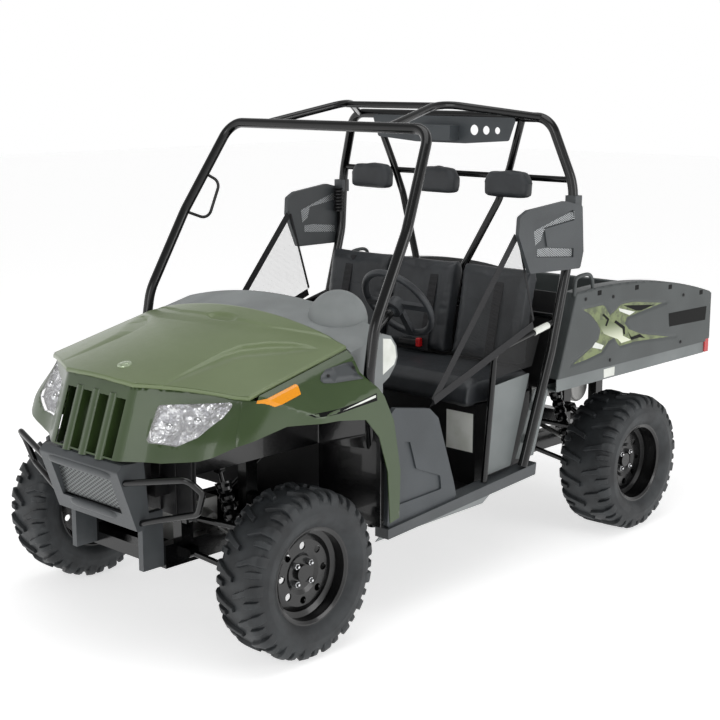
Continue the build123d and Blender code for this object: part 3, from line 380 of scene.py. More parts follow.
def front_panel(node, material, step, cutters=None):
    """A finely cut copy of a front panel, with the cheeks filled, in place of the CAD node."""
    bm = merged_copy(node)
    if cutters is not None:
        plain = finish_mesh(node + "_plain", bm, material)
        tool = finish_mesh(node + "_cutter", cutters, material)
        with_modifier(plain, "BOOLEAN", operation="DIFFERENCE", solver="EXACT", object=tool)
        bm = bmesh.new()
        bm.from_mesh(plain.data)
        bpy.data.objects.remove(plain)
        bpy.data.objects.remove(tool)
    cut_fine(bm, x=step, y=0.03, z=0.015)
    fill_cheeks(bm)
    made = finish_mesh(node + "_skin", bm, material, corner=32)
    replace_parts(made, node)
    return made


slot_half = 0.028
slot_low, slot_high = 0.772, 0.986
slot_cuts = bmesh.new()
for x in (-0.155, -0.052, 0.052, 0.155):
    box_mesh(slot_cuts, (x - slot_half, -1.85, slot_low), (x + slot_half, -1.5, slot_high))
front_panel("nose_panel", shaded_green, 0.015, slot_cuts)
front_panel("front_fenders", shaded_green, 0.03)

# bars between the slots: rounded in front, and deeper than the panel
bar_half = 0.0236
bm = bmesh.new()
for x in (-0.1035, 0, 0.1035):
    rings = []
    for z in (0.758, 0.8, 0.86, 0.92, 0.98, 1.0):
        ring = []
        for step in range(13):
            turn = math.pi * step / 12
            ring.append(bm.verts.new((x - bar_half * math.cos(turn),
                                      -1.612 + nose_slope * (z - 1) - 0.014 * math.sin(turn), z)))
        ring += [bm.verts.new((x + side * 0.019, -1.56 + nose_slope * (z - 1), z)) for side in (1, -1)]
        rings.append(ring)
    join_rings(bm, rings)
for side in (-1, 1):
    rings = [[bm.verts.new((side * x, y + nose_slope * (z - 1), z)) for x, y in
              ((0.1832, -1.604), (0.188, -1.604), (0.21, -1.56), (0.205, -1.558))] for z in (0.762, 0.99)]
    join_rings(bm, rings)
finish_mesh("grille_bars", bm, shaded_green)

bm = merged_copy("wheel_liners")
cut_fine(bm, y=0.02)
for vert in bm.verts:  # kept clear of the hood's valleys
    if abs(vert.co.x) < 0.611 and -1.56 < vert.co.y < -0.885:
        vert.co.z = min(vert.co.z, hood_height(vert.co.x, vert.co.y) - 0.012)
liners = finish_mesh("wheel_liners_skin", bm, shaded_green)
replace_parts(liners, "wheel_liners")

# Tyres ----------------------------------------------------
# Deep chevron lugs on a round carcass: long bars swept from the middle of the tread down over the shoulder, with a
# short block between each two, and beads and ribs on the sidewall.
rubber = finish("tyre_rubber", (38, 40, 42), 0.5, 500, 0.0003, 3, patches=(9, (33, 35, 37), (50, 53, 55)),
                wear=(25, 0.2, 0.42), specular=0.45)
tyre_radius = 0.33  # and the height of the axles
wheel_table = (("front_left", 1, 0.672, -1.22, 0.229), ("front_right", -1, 0.672, -1.22, 0.229),
               ("rear_left", 1, 0.668, 0.98, 0.279), ("rear_right", -1, 0.668, 0.98, 0.279))
lugs_round = 17


def ring_of(bm, profile, segments):
    """Turn a closed profile of (along the axle, radius) points into a ring round the X axis."""
    loops = []
    for step in range(segments):
        turn = 2 * math.pi * step / segments
        loops.append([bm.verts.new((x, radius * math.cos(turn), radius * math.sin(turn))) for x, radius in profile])
    for step in range(segments):
        a, b = loops[step], loops[(step + 1) % segments]
        for i in range(len(profile)):
            j = (i + 1) % len(profile)
            bm.faces.new((a[i], a[j], b[j], b[i]))


def add_lug(bm, stations, turn, side):
    """A bar over the tread. Each station: along the axle, foot and tip radius, sweep and half width in metres."""
    rings = []
    for x, foot, tip, sweep, half in stations:
        ring = []
        for radius, wide in ((foot, half + 0.004), (tip, half), (tip, -half), (foot, -half - 0.004)):
            angle = turn - (sweep + wide) / tyre_radius
            ring.append(bm.verts.new((side * x, radius * math.cos(angle), radius * math.sin(angle))))
        rings.append(ring)
    join_rings(bm, rings)


for place, side, track, axle_y, tyre_width in wheel_table:
    half = tyre_width / 2
    bead = half - 0.024
    profile = [(0.009 - bead, 0.1785), (0.0005 - bead, 0.1905), (-bead - 0.004, 0.197), (-half + 0.006, 0.214),
               (-half + 0.001, 0.232), (-half, 0.246), (-half - 0.0005, 0.252), (-half + 0.0015, 0.256),
               (-half + 0.002, 0.27), (-half + 0.008, 0.288), (-half + 0.02, 0.302), (-half + 0.04, 0.311),
               (-half + 0.07, 0.314)]
    profile += [(-x, radius) for x, radius in reversed(profile)]
    bm = bmesh.new()
    ring_of(bm, profile, 96)
    bmesh.ops.recalc_face_normals(bm, faces=bm.faces[:])
    carcass = finish_mesh("tyre_carcass_" + place, bm, rubber, corner=40)
    bm = bmesh.new()
    end = half - 0.004
    for lug in range(lugs_round):
        for hand in (-1, 1):
            turn = 2 * math.pi * (lug + (0.25 if hand > 0 else -0.25)) / lugs_round
            add_lug(bm, ((0.006, 0.31, 0.3285, -0.02, 0.009), (0.03, 0.31, 0.3295, -0.01, 0.01),
                         (half - 0.048, 0.308, 0.329, 0.008, 0.012), (half - 0.034, 0.304, 0.327, 0.013, 0.018),
                         (half - 0.016, 0.296, 0.318, 0.016, 0.02), (end - 0.002, 0.284, 0.304, 0.017, 0.021),
                         (end + 0.001, 0.272, 0.288, 0.018, 0.021)), turn, hand)
            add_lug(bm, ((half - 0.058, 0.308, 0.326, -0.046, 0.01), (half - 0.036, 0.304, 0.325, -0.042, 0.012),
                         (half - 0.018, 0.296, 0.316, -0.04, 0.012), (end - 0.003, 0.284, 0.3, -0.039, 0.011)),
                    turn, hand)
    lugs = finish_mesh("tyre_lugs_" + place, bm, rubber, corner=40)
    with_modifier(lugs, "BEVEL", width=0.0022, segments=2, limit_method="ANGLE", angle_limit=math.radians(35))
    bpy.ops.object.select_all(action="DESELECT")
    lugs.select_set(True)
    carcass.select_set(True)
    bpy.context.view_layer.objects.active = carcass
    bpy.ops.object.join()
    carcass.name = "tyre_tread_" + place
    # the chevrons' outer ends lead upward in front, on either side
    carcass.data.transform(Matrix.Translation((side * track, axle_y, tyre_radius))
                           @ Matrix.Rotation(math.radians(4), 4, "X"))
    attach(carcass, "wheel_" + place)
    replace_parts(carcass, "tyre_" + place)

# Rims and nuts --------------------------------------------
# Gloss-black pressed steel with four bright wheel nuts and a plain cap.
rim_paint = finish("rim_paint", (16, 16, 17), 0.22, 300, 0.0001, wear=(40, 0.15, 0.16), coat=0.25)
chrome = finish("bright_zinc", (215, 216, 218), 0.18, 900, 0.00005, metallic=1)
nut_radius = 0.0125
nut_circle = 0.05
nut_standoff = 0.037


def round_edges(made, width, segments=2):
    """Round a piece's sharp edges."""
    with_modifier(made, "BEVEL", width=width, segments=segments, limit_method="ANGLE")


def dress(material, *nodes):
    """Give CAD nodes a material."""
    for node in nodes:
        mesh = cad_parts[node].data
        mesh.materials.clear()
        mesh.materials.append(material)


for place, side, track, axle_y, tyre_width in wheel_table:
    dress(rim_paint, "rim_" + place)
    bm = bmesh.new()
    for step in range(4):
        turn = math.radians(45 + 90 * step)
        nut = bmesh.ops.create_cone(bm, segments=6, radius1=nut_radius, radius2=nut_radius, depth=0.018,
                                    cap_ends=True)["verts"]
        nut += bmesh.ops.create_cone(bm, segments=16, radius1=0.0095, radius2=0.005, depth=0.01,
                                     cap_ends=True, matrix=Matrix.Translation((0, 0, 0.013)))["verts"]
        bmesh.ops.rotate(bm, verts=nut, matrix=Matrix.Rotation(side * math.pi / 2, 3, "Y"))
        bmesh.ops.translate(bm, verts=nut, vec=(side * (track + nut_standoff), axle_y + nut_circle * math.cos(turn),
                                                tyre_radius + nut_circle * math.sin(turn)))
    nuts = finish_mesh("wheel_nuts_" + place, bm, chrome, "wheel_" + place)
    round_edges(nuts, 0.0012)

# Seat -----------------------------------------------------
# Three backs and a bench cushion in black vinyl: each is swelled as cloth from its CAD form, then sewn in panels.
vinyl, vinyl_place, vinyl_shader = new_material("black_vinyl", rgb(46, 48, 51), 0.42, specular=0.5)
feed(vinyl_shader, "Base Color", noise(vinyl_place, 6).ramp(0.3, 0.7).mix(rgb(41, 43, 46), rgb(54, 57, 60)))
feed(vinyl_shader, "Roughness", noise(vinyl_place, 18) * 0.2 + 0.34)
seam_half = 0.0035
back_pitch = 0.424  # from one seat back's middle to the next
panel_half = 0.13
bench_top = 0.884
sideways = vinyl_place.axis(0)
lengthways = vinyl_place.axis(1)
upward = vinyl_place.axis(2)
own = abs(sideways) - (abs(sideways) > 0.211) * back_pitch
panel_edge = abs(abs(own) - panel_half) < seam_half
low_seam = (abs(upward - 0.985) < seam_half) * (abs(own) < panel_half)
middle_seam = (abs(upward - 1.17) < seam_half) * (abs(own) < panel_half)
back_seams = (panel_edge + low_seam + middle_seam) * (upward > bench_top)
bench_seams = ((abs(abs(sideways) - 0.21) < seam_half) + (abs(lengthways + 0.02) < seam_half)) * (upward < bench_top)
bump(vinyl_shader, noise(vinyl_place, 650, 3) * 0.15 - (back_seams + bench_seams) * 0.9, 0.0032)
swell_frames = 20


def swell(made, cap):
    """Blow a closed form up as cloth, with no point moving further than cap, and smooth it once."""
    with_modifier(made, "REMESH", mode="VOXEL", voxel_size=0.008)
    rest = [vert.co.copy() for vert in made.data.vertices]
    cloth = made.modifiers.new("cloth", "CLOTH")
    cloth.settings.use_pressure = True
    cloth.settings.uniform_pressure_force = 4
    cloth.settings.effector_weights.gravity = 0
    cloth.point_cache.frame_end = swell_frames
    for step in range(1, swell_frames + 1):
        bpy.context.scene.frame_set(step)
    with_cloth = made.evaluated_get(bpy.context.evaluated_depsgraph_get())
    moved = [vert.co.copy() for vert in with_cloth.data.vertices]
    made.modifiers.clear()
    bpy.context.scene.frame_set(1)
    for vert, start, end in zip(made.data.vertices, rest, moved):
        step = end - start
        vert.co = start + step * min(1, cap / max(step.length, 0.00001))
    with_modifier(made, "SMOOTH", factor=0.6, iterations=6)
    with_modifier(made, "SUBSURF", levels=1)
    made.data.polygons.foreach_set("use_smooth", [True] * len(made.data.polygons))


def loose_parts(node):
    """The CAD node's separate solids, each as a list of its faces' corner points."""
    bm = merged_copy(node)
    parts = []
    taken = set()
    for first in bm.faces:
        group = [] if first in taken else [first]
        taken.add(first)
        for face in group:  # the group grows as its faces are walked
            for other in [other for edge in face.edges for other in edge.link_faces]:
                if other not in taken:
                    taken.add(other)
                    group.append(other)
        if group:
            parts.append([[vert.co.copy() for vert in face.verts] for face in group])
    bm.free()
    return parts


def pad(name, part, shrink, cap):
    """A soft pad from one CAD solid, drawn in a little before it swells."""
    bm = bmesh.new()
    for corners in part:
        bm.faces.new([bm.verts.new(corner) for corner in corners])
    bmesh.ops.remove_doubles(bm, verts=bm.verts, dist=0.00005)
    lows = [min(vert.co[i] for vert in bm.verts) for i in range(3)]
    highs = [max(vert.co[i] for vert in bm.verts) for i in range(3)]
    middle = Vector((low + high) / 2 for low, high in zip(lows, highs))
    scale = [1 - 2 * shrink / (high - low) for low, high in zip(lows, highs)]
    for vert in bm.verts:
        vert.co = middle + Vector((vert.co[i] - middle[i]) * scale[i] for i in range(3))
    made = finish_mesh(name, bm, vinyl)
    swell(made, cap)
    return made


for number, part in enumerate(loose_parts("seat_backs"), 1):
    made = pad(f"seat_back_pad_{number}", part, 0.008, 0.016)
    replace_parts(made, "seat_backs")
bench = pad("seat_cushion_pad", loose_parts("seat_cushion")[0], 0.008, 0.016)
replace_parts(bench, "seat_cushion")
for number, part in enumerate(loose_parts("head_restraints"), 1):
    made = pad(f"head_restraint_pad_{number}", part, 0.003, 0.006)
    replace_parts(made, "head_restraints")

# Moulded plastics -----------------------------------------
# Grained polypropylene, coloured through: near black for liners, dark grey for guards and bumper, a lighter grey for
# the cargo box sides and mid grey for the dash.
def moulding(name, shade, roughness, grain=1400, depth=0.00025, coat=0.0):
    """A grained plastic of one grey."""
    made, place, shader = new_material(name, rgb(*shade), roughness, coat=coat)
    lighter = [value * 1.12 + 1 for value in shade]
    feed(shader, "Base Color", noise(place, 5).ramp(0.3, 0.75).mix(rgb(*shade), rgb(*lighter)))
    feed(shader, "Roughness", noise(place, 20) * 0.12 + (roughness - 0.06))
    bump(shader, noise(place, grain, 2), depth)
    return made


black_moulding = moulding("black_moulding", (22, 22, 23), 0.42)
charcoal_moulding = moulding("charcoal_moulding", (67, 70, 72), 0.4)
guard_moulding = moulding("guard_moulding", (62, 66, 69), 0.45)
box_moulding = moulding("box_moulding", (66, 70, 70), 0.42)
dash_moulding = moulding("dash_moulding", (122, 126, 126), 0.55)
gloss_liner = moulding("gloss_liner", (14, 14, 15), 0.2, 600, 0.0001, 0.4)
liners.data.materials[0] = gloss_liner
dress(black_moulding, "floor_pan", "seat_pedestal", "radiator", "cargo_tub")
dress(charcoal_moulding, "bumper_shell", "rocker_sills", "shoulder_guards")
dress(guard_moulding, "leg_guards", "overhead_panel")
dress(box_moulding, "tailgate")
dress(dash_moulding, "dash_panel")

# Painted steel --------------------------------------------
# Cage, frame, bumper tubes and arms are gloss-black powder coat; skirts, side sheets and bed strips are silver grey.
black_coat = finish("black_powder_coat", (10, 11, 12), 0.2, 260, 0.0002, wear=(30, 0.12, 0.13), coat=0.25,
                    specular=0.4)
dress(black_coat, "cage_front_hoop", "cage_rear_hoop", "cage_roof", "hip_bars", "bumper_tubes", "chassis_frame",
      "front_subframe", "bed_subframe", "control_arms", "steering_gear", "tie_rods", "shock_absorbers")
silver_paint = finish("silver_paint", (118, 123, 123), 0.42, 500, 0.0001,
                      patches=(3, (112, 117, 117), (124, 129, 129)), wear=(25, 0.14, 0.34), metallic=0.2)
dress(silver_paint, "side_panels", "sill_skirts", "box_rails")

# Castings -------------------------------------------------
# Knuckles in cast iron; gearcases, engine and muffler in plain alloy and steel.
iron = finish("cast_iron", (60, 60, 62), 0.5, 220, 0.0006, 3, wear=(30, 0.3, 0.35), metallic=0.8)
alloy = finish("cast_alloy", (160, 160, 158), 0.4, 220, 0.0005, 3, wear=(30, 0.25, 0.28), metallic=0.85)
dress(iron, "knuckle_front_left", "knuckle_front_right", "rear_knuckles")
dress(alloy, "driveline", "engine_block", "exhaust_muffler")

# Headlamps and markers ------------------------------------
# A clear cover flush with the nose over a faceted, bright-plated reflector with two bowls and shielded bulbs. The
# reflector's colour drifts between dark and bright patches, a painted reflection of its facets.
lens = finish("clear_lens", (255, 255, 255), 0.04, 60, 0.0004, specular=0.8)
lens.node_tree.nodes["Principled BSDF"].inputs["Alpha"].default_value = 0.16
reflector, reflector_place, reflector_shader = new_material("bright_reflector", rgb(205, 206, 210), 0.14, metallic=1)
flute = reflector_place.node("TexVoronoi", {}, {"Vector": reflector_place, "Scale": 55})
bump(reflector_shader, flute, 0.006)
# painted reflection: dark and bright patches in the plated colour
painted_reflection = noise(reflector_place, 40).ramp(0.45, 0.6)
feed(reflector_shader, "Base Color", painted_reflection.mix(rgb(150, 151, 158), rgb(235, 236, 238)))
amber = finish("amber_lens", (238, 150, 14), 0.2, 300, 0.0004, coat=0.5)
red = finish("red_lens", (190, 26, 30), 0.2, 300, 0.0004, coat=0.5)
dress(amber, "side_markers")
dress(red, "tail_lamps")
front_panel("headlight_lenses", lens, 0.015)
bowls = ((0.362, 0.9, 0.062), (0.462, 0.928, 0.044))
bm = merged_copy("headlight_reflectors")
cut_fine(bm, x=0.008, z=0.008)
fill_cheeks(bm)
bm.normal_update()
bowl_depth = 0.022
plate_depth = 0.012  # of the reflector behind its lens
shield_radius = 0.017
for vert in bm.verts:
    if vert.normal.y < -0.45:
        sunk = plate_depth
        for bowl_x, bowl_z, bowl_radius in bowls:
            off = math.hypot(abs(vert.co.x) - bowl_x, vert.co.z - bowl_z)
            sunk += bowl_depth * (1 - smooth_step(0.35 * bowl_radius, bowl_radius, off))
        vert.co.y += sunk
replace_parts(finish_mesh("headlight_reflector_bowls", bm, reflector), "headlight_reflectors")
bm = bmesh.new()
for side in (-1, 1):
    for bowl_x, bowl_z, bowl_radius in bowls:
        front = -1.56 + 0.42 * (bowl_x - 0.3) + nose_slope * (bowl_z - 0.98)
        shield = bmesh.ops.create_uvsphere(bm, u_segments=24, v_segments=12, radius=shield_radius)["verts"]
        bmesh.ops.translate(bm, verts=shield, vec=(side * bowl_x, front, bowl_z))
finish_mesh("headlight_bulb_shields", bm, chrome)

# Films and screws -----------------------------------------
# Coloured films are stuck on the panels, with no words on any of them; black dome screws hold the mouldings.
sides = ((1, "left"), (-1, "right"))


def surface_of(made):
    """The surface of a piece or a CAD node, for laying things on."""
    return BVHTree.FromPolygons([vert.co.copy() for vert in made.data.vertices],
                                [list(face.vertices) for face in made.data.polygons])


def flat_sheet(outline, x, step):
    """A flat mesh in the plane of x with a (y, z) outline, cut into squares of one step."""
    bm = bmesh.new()
    bm.faces.new([bm.verts.new((x, y, z)) for y, z in outline])
    bm.normal_update()
    bmesh.ops.triangulate(bm, faces=bm.faces[:])
    cut_fine(bm, y=step, z=step)
    return bm


def film(name, outline, paint, surface, start, lift=0.0007, body="chassis", step=0.02, outward=False):
    """A thin film with a (y, z) outline, laid on the first surface met from x = start, going inwards or outwards."""
    bm = flat_sheet(outline, 0, step)
    toward = math.copysign(1, start if outward else -start)
    for vert in bm.verts:
        found = surface.ray_cast(Vector((start, vert.co.y, vert.co.z)), Vector((toward, 0, 0)))[0]
        if found is not None:
            vert.co.x = found.x - toward * lift
    bmesh.ops.delete(bm, geom=[vert for vert in bm.verts if vert.co.x == 0], context="VERTS")
    bm.normal_update()
    bmesh.ops.reverse_faces(bm, faces=[face for face in bm.faces if face.normal.x * toward > 0])
    return finish_mesh(name, bm, paint, body)


def screws(name, places, material, radius=0.008, body="chassis"):
    """Dome screws, each at a point and pointing along a normal."""
    bm = bmesh.new()
    for point, normal in places:
        turn = Vector(normal).to_track_quat("Z", "Y").to_matrix().to_4x4()
        # washer, dome and hexagon socket: corners, foot and tip radius as shares, depth and height
        for corners, foot, tip, depth, rise in ((20, 1, 1, 0.002, 0), (20, 0.8, 0.55, 0.003, 0.002),
                                                (6, 0.32, 0.32, 0.001, 0.0038)):
            bmesh.ops.create_cone(bm, segments=corners, radius1=radius * foot, radius2=radius * tip, depth=depth,
                                  cap_ends=True, matrix=Matrix.Translation(point) @ turn
                                  @ Matrix.Translation((0, 0, rise)))
    return finish_mesh(name, bm, material, body)


white_film = finish("white_film", (228, 230, 224), 0.3, 400, 0.0001, patches=(12, (220, 223, 214), (236, 238, 232)),
                    coat=0.3)
black_film = finish("black_film", (10, 11, 10), 0.5, 400, 0.0001, specular=0.15)
pale_film, film_place, film_shader = new_material("pale_green_film", rgb(196, 204, 160), 0.3, coat=0.3)
feed(film_shader, "Base Color", film_place.axis(2).ramp(0.93, 1.04).mix(rgb(226, 230, 205), rgb(96, 110, 66)))
bump(film_shader, noise(film_place, 400, 2), 0.0001)
green_film, film_place, film_shader = new_material("green_film", rgb(104, 116, 72), 0.3, coat=0.3)
feed(film_shader, "Base Color", noise(film_place, 16, 4, 0.7).ramp(0.42, 0.58).mix(rgb(82, 92, 58), rgb(116, 128, 80)))
bump(film_shader, noise(film_place, 400, 2), 0.0001)
fender_skin = surface_of(bpy.data.objects["front_fenders_skin"])
outside = 0.9  # clear of every panel, where the search for a surface starts
black_stripe = ((-1.188, 0.938), (-1.05, 0.941), (-0.93, 0.952), (-0.842, 0.968), (-0.838, 0.938), (-0.93, 0.932),
                (-1.05, 0.922), (-1.165, 0.926))
white_stripe = ((-1.03, 0.931), (-0.94, 0.947), (-0.848, 0.962), (-0.846, 0.952), (-0.93, 0.941))
vent_edge = ((-1.076, 1.044), (-1.064, 1.061), (-1.031, 1.077), (-0.939, 1.09), (-0.874, 1.092), (-0.862, 1.078),
             (-0.868, 1.036), (-0.88, 1.028), (-1.023, 1.029), (-1.066, 1.034))
for side, word in sides:
    film("fender_stripe_black_" + word, black_stripe, black_film, fender_skin, side * outside)
    film("fender_stripe_white_" + word, white_stripe, white_film, fender_skin, side * outside, 0.0012)
    vent = film("vent_trim_" + word, vent_edge, charcoal_moulding, fender_skin, side * outside, 0.003, step=0.03)
    with_modifier(vent, "SOLIDIFY", thickness=0.003, offset=-1)
    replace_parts(vent, "fender_vents")
vent_spots = []
for side in (-1, 1):
    out_of_vent = Vector((side * 0.83, -0.13, 0.55))
    for x, y, z in ((0.662, -1.034, 1.054), (0.671, -0.905, 1.068)):
        vent_spots.append((Vector((side * x, y, z)) + 0.004 * out_of_vent, out_of_vent))
screws("vent_screws", vent_spots, black_moulding, 0.007)

# Expanded mesh --------------------------------------------
# Diamond mesh of pressed sheet: bright behind the slots and in the shoulder guards, painted grey in the bumper.
def expanded(name, across_axis, shade, pitch):
    """Strands of a diamond mesh over holes painted near black as painted shade, in the plane of Z and one other axis.
    """
    made, place, shader = new_material(name, rgb(*shade), 0.35, metallic=0.6)
    u = place.axis(across_axis) * (1 / pitch)
    v = place.axis(2) * (1.7 / pitch)
    strand = 1 - (abs((u + v).fraction() - 0.5) > 0.17) * (abs((u - v).fraction() - 0.5) > 0.17)
    # the holes are painted near black: painted shade for the openings, which are not cut through
    feed(shader, "Base Color", strand.mix(rgb(9, 10, 11), rgb(*shade)))
    feed(shader, "Metallic", strand * 0.6)
    bump(shader, strand, 0.002)
    return made


slot_mesh = expanded("slot_mesh", 0, (150, 154, 150), 0.018)
bumper_mesh = expanded("bumper_mesh", 0, (120, 124, 124), 0.026)
guard_mesh = expanded("guard_mesh", 1, (186, 190, 192), 0.016)
dress(bumper_mesh, "bumper_grille")
bm = bmesh.new()
bm.faces.new([bm.verts.new((x, -1.5575 + nose_slope * (z - 1), z))
              for x, z in ((-0.222, 0.758), (0.222, 0.758), (0.222, 1.0), (-0.222, 1.0))])
slot_screen = finish_mesh("grille_screen", bm, slot_mesh)
with_modifier(slot_screen, "SOLIDIFY", thickness=0.0012, offset=-1)
guard_surface = surface_of(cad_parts["shoulder_guards"])
inside = 0.6  # between the guards, from where their inner faces are met
bands = (((0.165, 1.513), (0.3, 1.552), (0.425, 1.586), (0.428, 1.549), (0.232, 1.524), (0.214, 1.47), (0.176, 1.45)),
         ((0.19, 1.434), (0.25, 1.436), (0.425, 1.417), (0.427, 1.384), (0.19, 1.402)))
for side, word in sides:
    for number, band in enumerate(bands):
        film(f"guard_mesh_outer_{word}_{number}", band, guard_mesh, guard_surface, side * outside)
        film(f"guard_mesh_inner_{word}_{number}", band, guard_mesh, guard_surface, side * inside, outward=True)

# Radiator shroud ------------------------------------------
# A thin ribbed black shroud closes the space under the nose, behind the bumper.
def boxes(name, corners, material, edge=0.0, segments=2, body="chassis"):
    """One piece of separate boxes, each given by its low and high corner, with edges rounded."""
    bm = bmesh.new()
    for low, high in corners:
        box_mesh(bm, low, high)
    made = finish_mesh(name, bm, material, body)
    if edge > 0:
        round_edges(made, edge, segments)


shroud_ribs = 9
rib_pitch = 0.096
ribs = [((-0.392 + rib_pitch * rib, -1.484, 0.53), (-0.38 + rib_pitch * rib, -1.474, 0.78))
        for rib in range(shroud_ribs)]
boxes("radiator_shroud", [((-0.4, -1.476, 0.52), (0.4, -1.472, 0.79))] + ribs, black_moulding, 0.001)

# Bumper mouldings -----------------------------------------
# Two bulged bars are moulded across the bumper, one above and one below its mesh.
def circle(radius, count):
    """Points of a circle round the middle."""
    return [(radius * math.cos(2 * math.pi * i / count), radius * math.sin(2 * math.pi * i / count))
            for i in range(count)]


bm = bmesh.new()
bar_thick = 0.017
stations = 24
for half, z in ((0.205, 0.713), (0.15, 0.536)):
    rings = []
    for step in range(stations + 1):
        part = 2 * step / stations - 1
        size = bar_thick * math.sqrt(max(0.0, 1 - abs(part) ** 8)) + 0.001
        centre = Vector((part * half, -1.7235 + nose_slope * (0.74 - z), z))
        rings.append([bm.verts.new(centre + Vector((0, -0.9 * y, z))) for y, z in circle(size, 16)])
    join_rings(bm, rings)
finish_mesh("bumper_bars", bm, charcoal_moulding)

# Cargo box sides ------------------------------------------
# A moulded side with a pressed X-shaped recess, films in plain shards of green, white and black inside it, a row of
# tie-down hollows under the top edge given as thin black boxes (painted shade, not cut), dome screws and a loop
# handle at the front corner.
recess_edge = ((0.551, 1.13), (0.661, 1.132), (0.736, 1.132), (0.761, 1.121), (0.797, 1.081), (0.834, 1.093),
               (0.882, 1.118), (0.99, 1.119), (1.277, 1.08), (1.315, 1.067), (1.179, 1.055), (1.026, 1.042),
               (0.951, 1.035), (0.933, 1.015), (0.969, 0.988), (1.083, 0.95), (1.406, 0.89), (1.385, 0.881),
               (1.118, 0.9), (1.015, 0.906), (0.886, 0.901), (0.866, 0.913), (0.834, 0.945), (0.796, 0.939),
               (0.737, 0.892), (0.602, 0.874), (0.465, 0.868), (0.5, 0.894), (0.649, 0.943), (0.699, 0.974),
               (0.711, 1.005), (0.685, 1.041), (0.627, 1.086))


def inside_by(outline, y, z):
    """How far a point is inside a closed outline; negative outside it."""
    nearest = 1.0
    within = False
    for (ya, za), (yb, zb) in zip(outline, outline[1:] + outline[:1]):
        run = Vector((yb - ya, zb - za))
        part = min(1, max(0, Vector((y - ya, z - za)).dot(run) / run.length_squared))
        nearest = min(nearest, (Vector((y - ya, z - za)) - part * run).length)
        if (za > z) != (zb > z) and y < ya + (yb - ya) * (z - za) / (zb - za):
            within = not within
    return nearest if within else -nearest


recess_depth = 0.006
recess_step = 0.007
bm = merged_copy("box_side_panels")
cut_fine(bm, y=recess_step, z=recess_step)
for vert in bm.verts:
    if abs(vert.co.x) > 0.713 and 0.45 < vert.co.y < 1.42 and 0.86 < vert.co.z < 1.14:
        sink = recess_depth * smooth_step(-0.001, 0.008, inside_by(recess_edge, vert.co.y, vert.co.z))
        vert.co.x -= math.copysign(sink, vert.co.x)
box_sides = finish_mesh("box_sides_skin", bm, box_moulding, "cargo_box", 24)
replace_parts(box_sides, "box_side_panels")
box_surface = surface_of(box_sides)
shards = (
    ("green_x", green_film, 0.0006, (
        (0.57, 1.122), (0.66, 1.124), (0.732, 1.124), (0.753, 1.115), (0.794, 1.07), (0.836, 1.084),
        (0.884, 1.11), (0.99, 1.111), (1.255, 1.075), (1.02, 1.05), (0.945, 1.043), (0.923, 1.015),
        (0.962, 0.981), (1.08, 0.942), (1.33, 0.895), (1.12, 0.908), (1.015, 0.914), (0.89, 0.909),
        (0.872, 0.92), (0.838, 0.955), (0.79, 0.947), (0.733, 0.901), (0.602, 0.883), (0.505, 0.877),
        (0.655, 0.936), (0.707, 0.97), (0.72, 1.007), (0.692, 1.046), (0.633, 1.092))),
    ("white_upper", white_film, 0.0012, (
        (0.868, 1.094), (1.01, 1.06), (0.962, 1.049), (0.875, 1.079))),
    ("black_upper", black_film, 0.0012, (
        (0.905, 1.103), (1.18, 1.074), (1.065, 1.06), (1.02, 1.064))),
    ("white_lower", white_film, 0.0012, (
        (0.678, 0.957), (0.752, 0.931), (0.735, 0.915), (0.655, 0.934))),
    ("pale_middle", pale_film, 0.0012, (
        (0.69, 1.058), (0.78, 1.052), (0.905, 0.99), (0.912, 0.956), (0.985, 0.926), (0.9, 0.922),
        (0.868, 0.946), (0.8, 0.968), (0.748, 0.988), (0.728, 1.01))),
    ("black_slash_1", black_film, 0.0018, (
        (0.742, 1.083), (0.79, 1.052), (0.77, 1.02), (0.756, 1.024), (0.772, 1.05), (0.73, 1.078))),
    ("black_slash_2", black_film, 0.0018, (
        (0.845, 1.04), (0.925, 0.998), (0.93, 0.96), (0.916, 0.962), (0.905, 0.992), (0.832, 1.03))),
    ("black_slash_3", black_film, 0.0018, (
        (0.955, 0.97), (0.985, 0.94), (1.06, 0.945), (1.11, 0.918), (1.06, 0.928), (0.985, 0.925))),
    ("black_band", black_film, 0.0008, (
        (1.309, 1.016), (1.676, 1.01), (1.668, 0.939), (1.32, 0.948))))
for side, word in sides:
    for name, paint, lift, outline in shards:
        film(f"box_film_{name}_{word}", outline, paint, box_surface, side * outside, lift, "cargo_box", 0.012)
film("rail_label", ((0.765, 0.814), (0.858, 0.814), (0.856, 0.772), (0.767, 0.772)), white_film,
     surface_of(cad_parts["box_rails"]), outside, 0.0008, "cargo_box")
# each tie-down notch is a thin black box in the wall: painted shade where its hollow is not cut
notch_shade_boxes = [((low_x, y - 0.017, z - 0.014), (high_x, y + 0.017, z + 0.01))
           for low_x, high_x in ((-0.7186, -0.712), (0.712, 0.7186))
           for y, z in ((0.695, 1.189), (1.011, 1.18), (1.314, 1.15), (1.615, 1.09))]
boxes("box_tie_notch_shade", notch_shade_boxes, black_film, 0.002, body="cargo_box")
screws("box_screws", [((side * 0.719, y, z), (side, 0, 0)) for side in (-1, 1)
                      for y, z in ((0.585, 1.17), (0.811, 1.156), (1.443, 1.093), (1.435, 0.855), (0.801, 0.855))],
       black_moulding, 0.009, "cargo_box")


def rounded(points, times=3):
    """Cut the corners of a line of points a few times over."""
    for step in range(times):
        cut = [points[0]]
        for a, b in zip(points, points[1:]):
            cut += [a.lerp(b, 0.25), a.lerp(b, 0.75)]
        points = cut + [points[-1]]
    return points


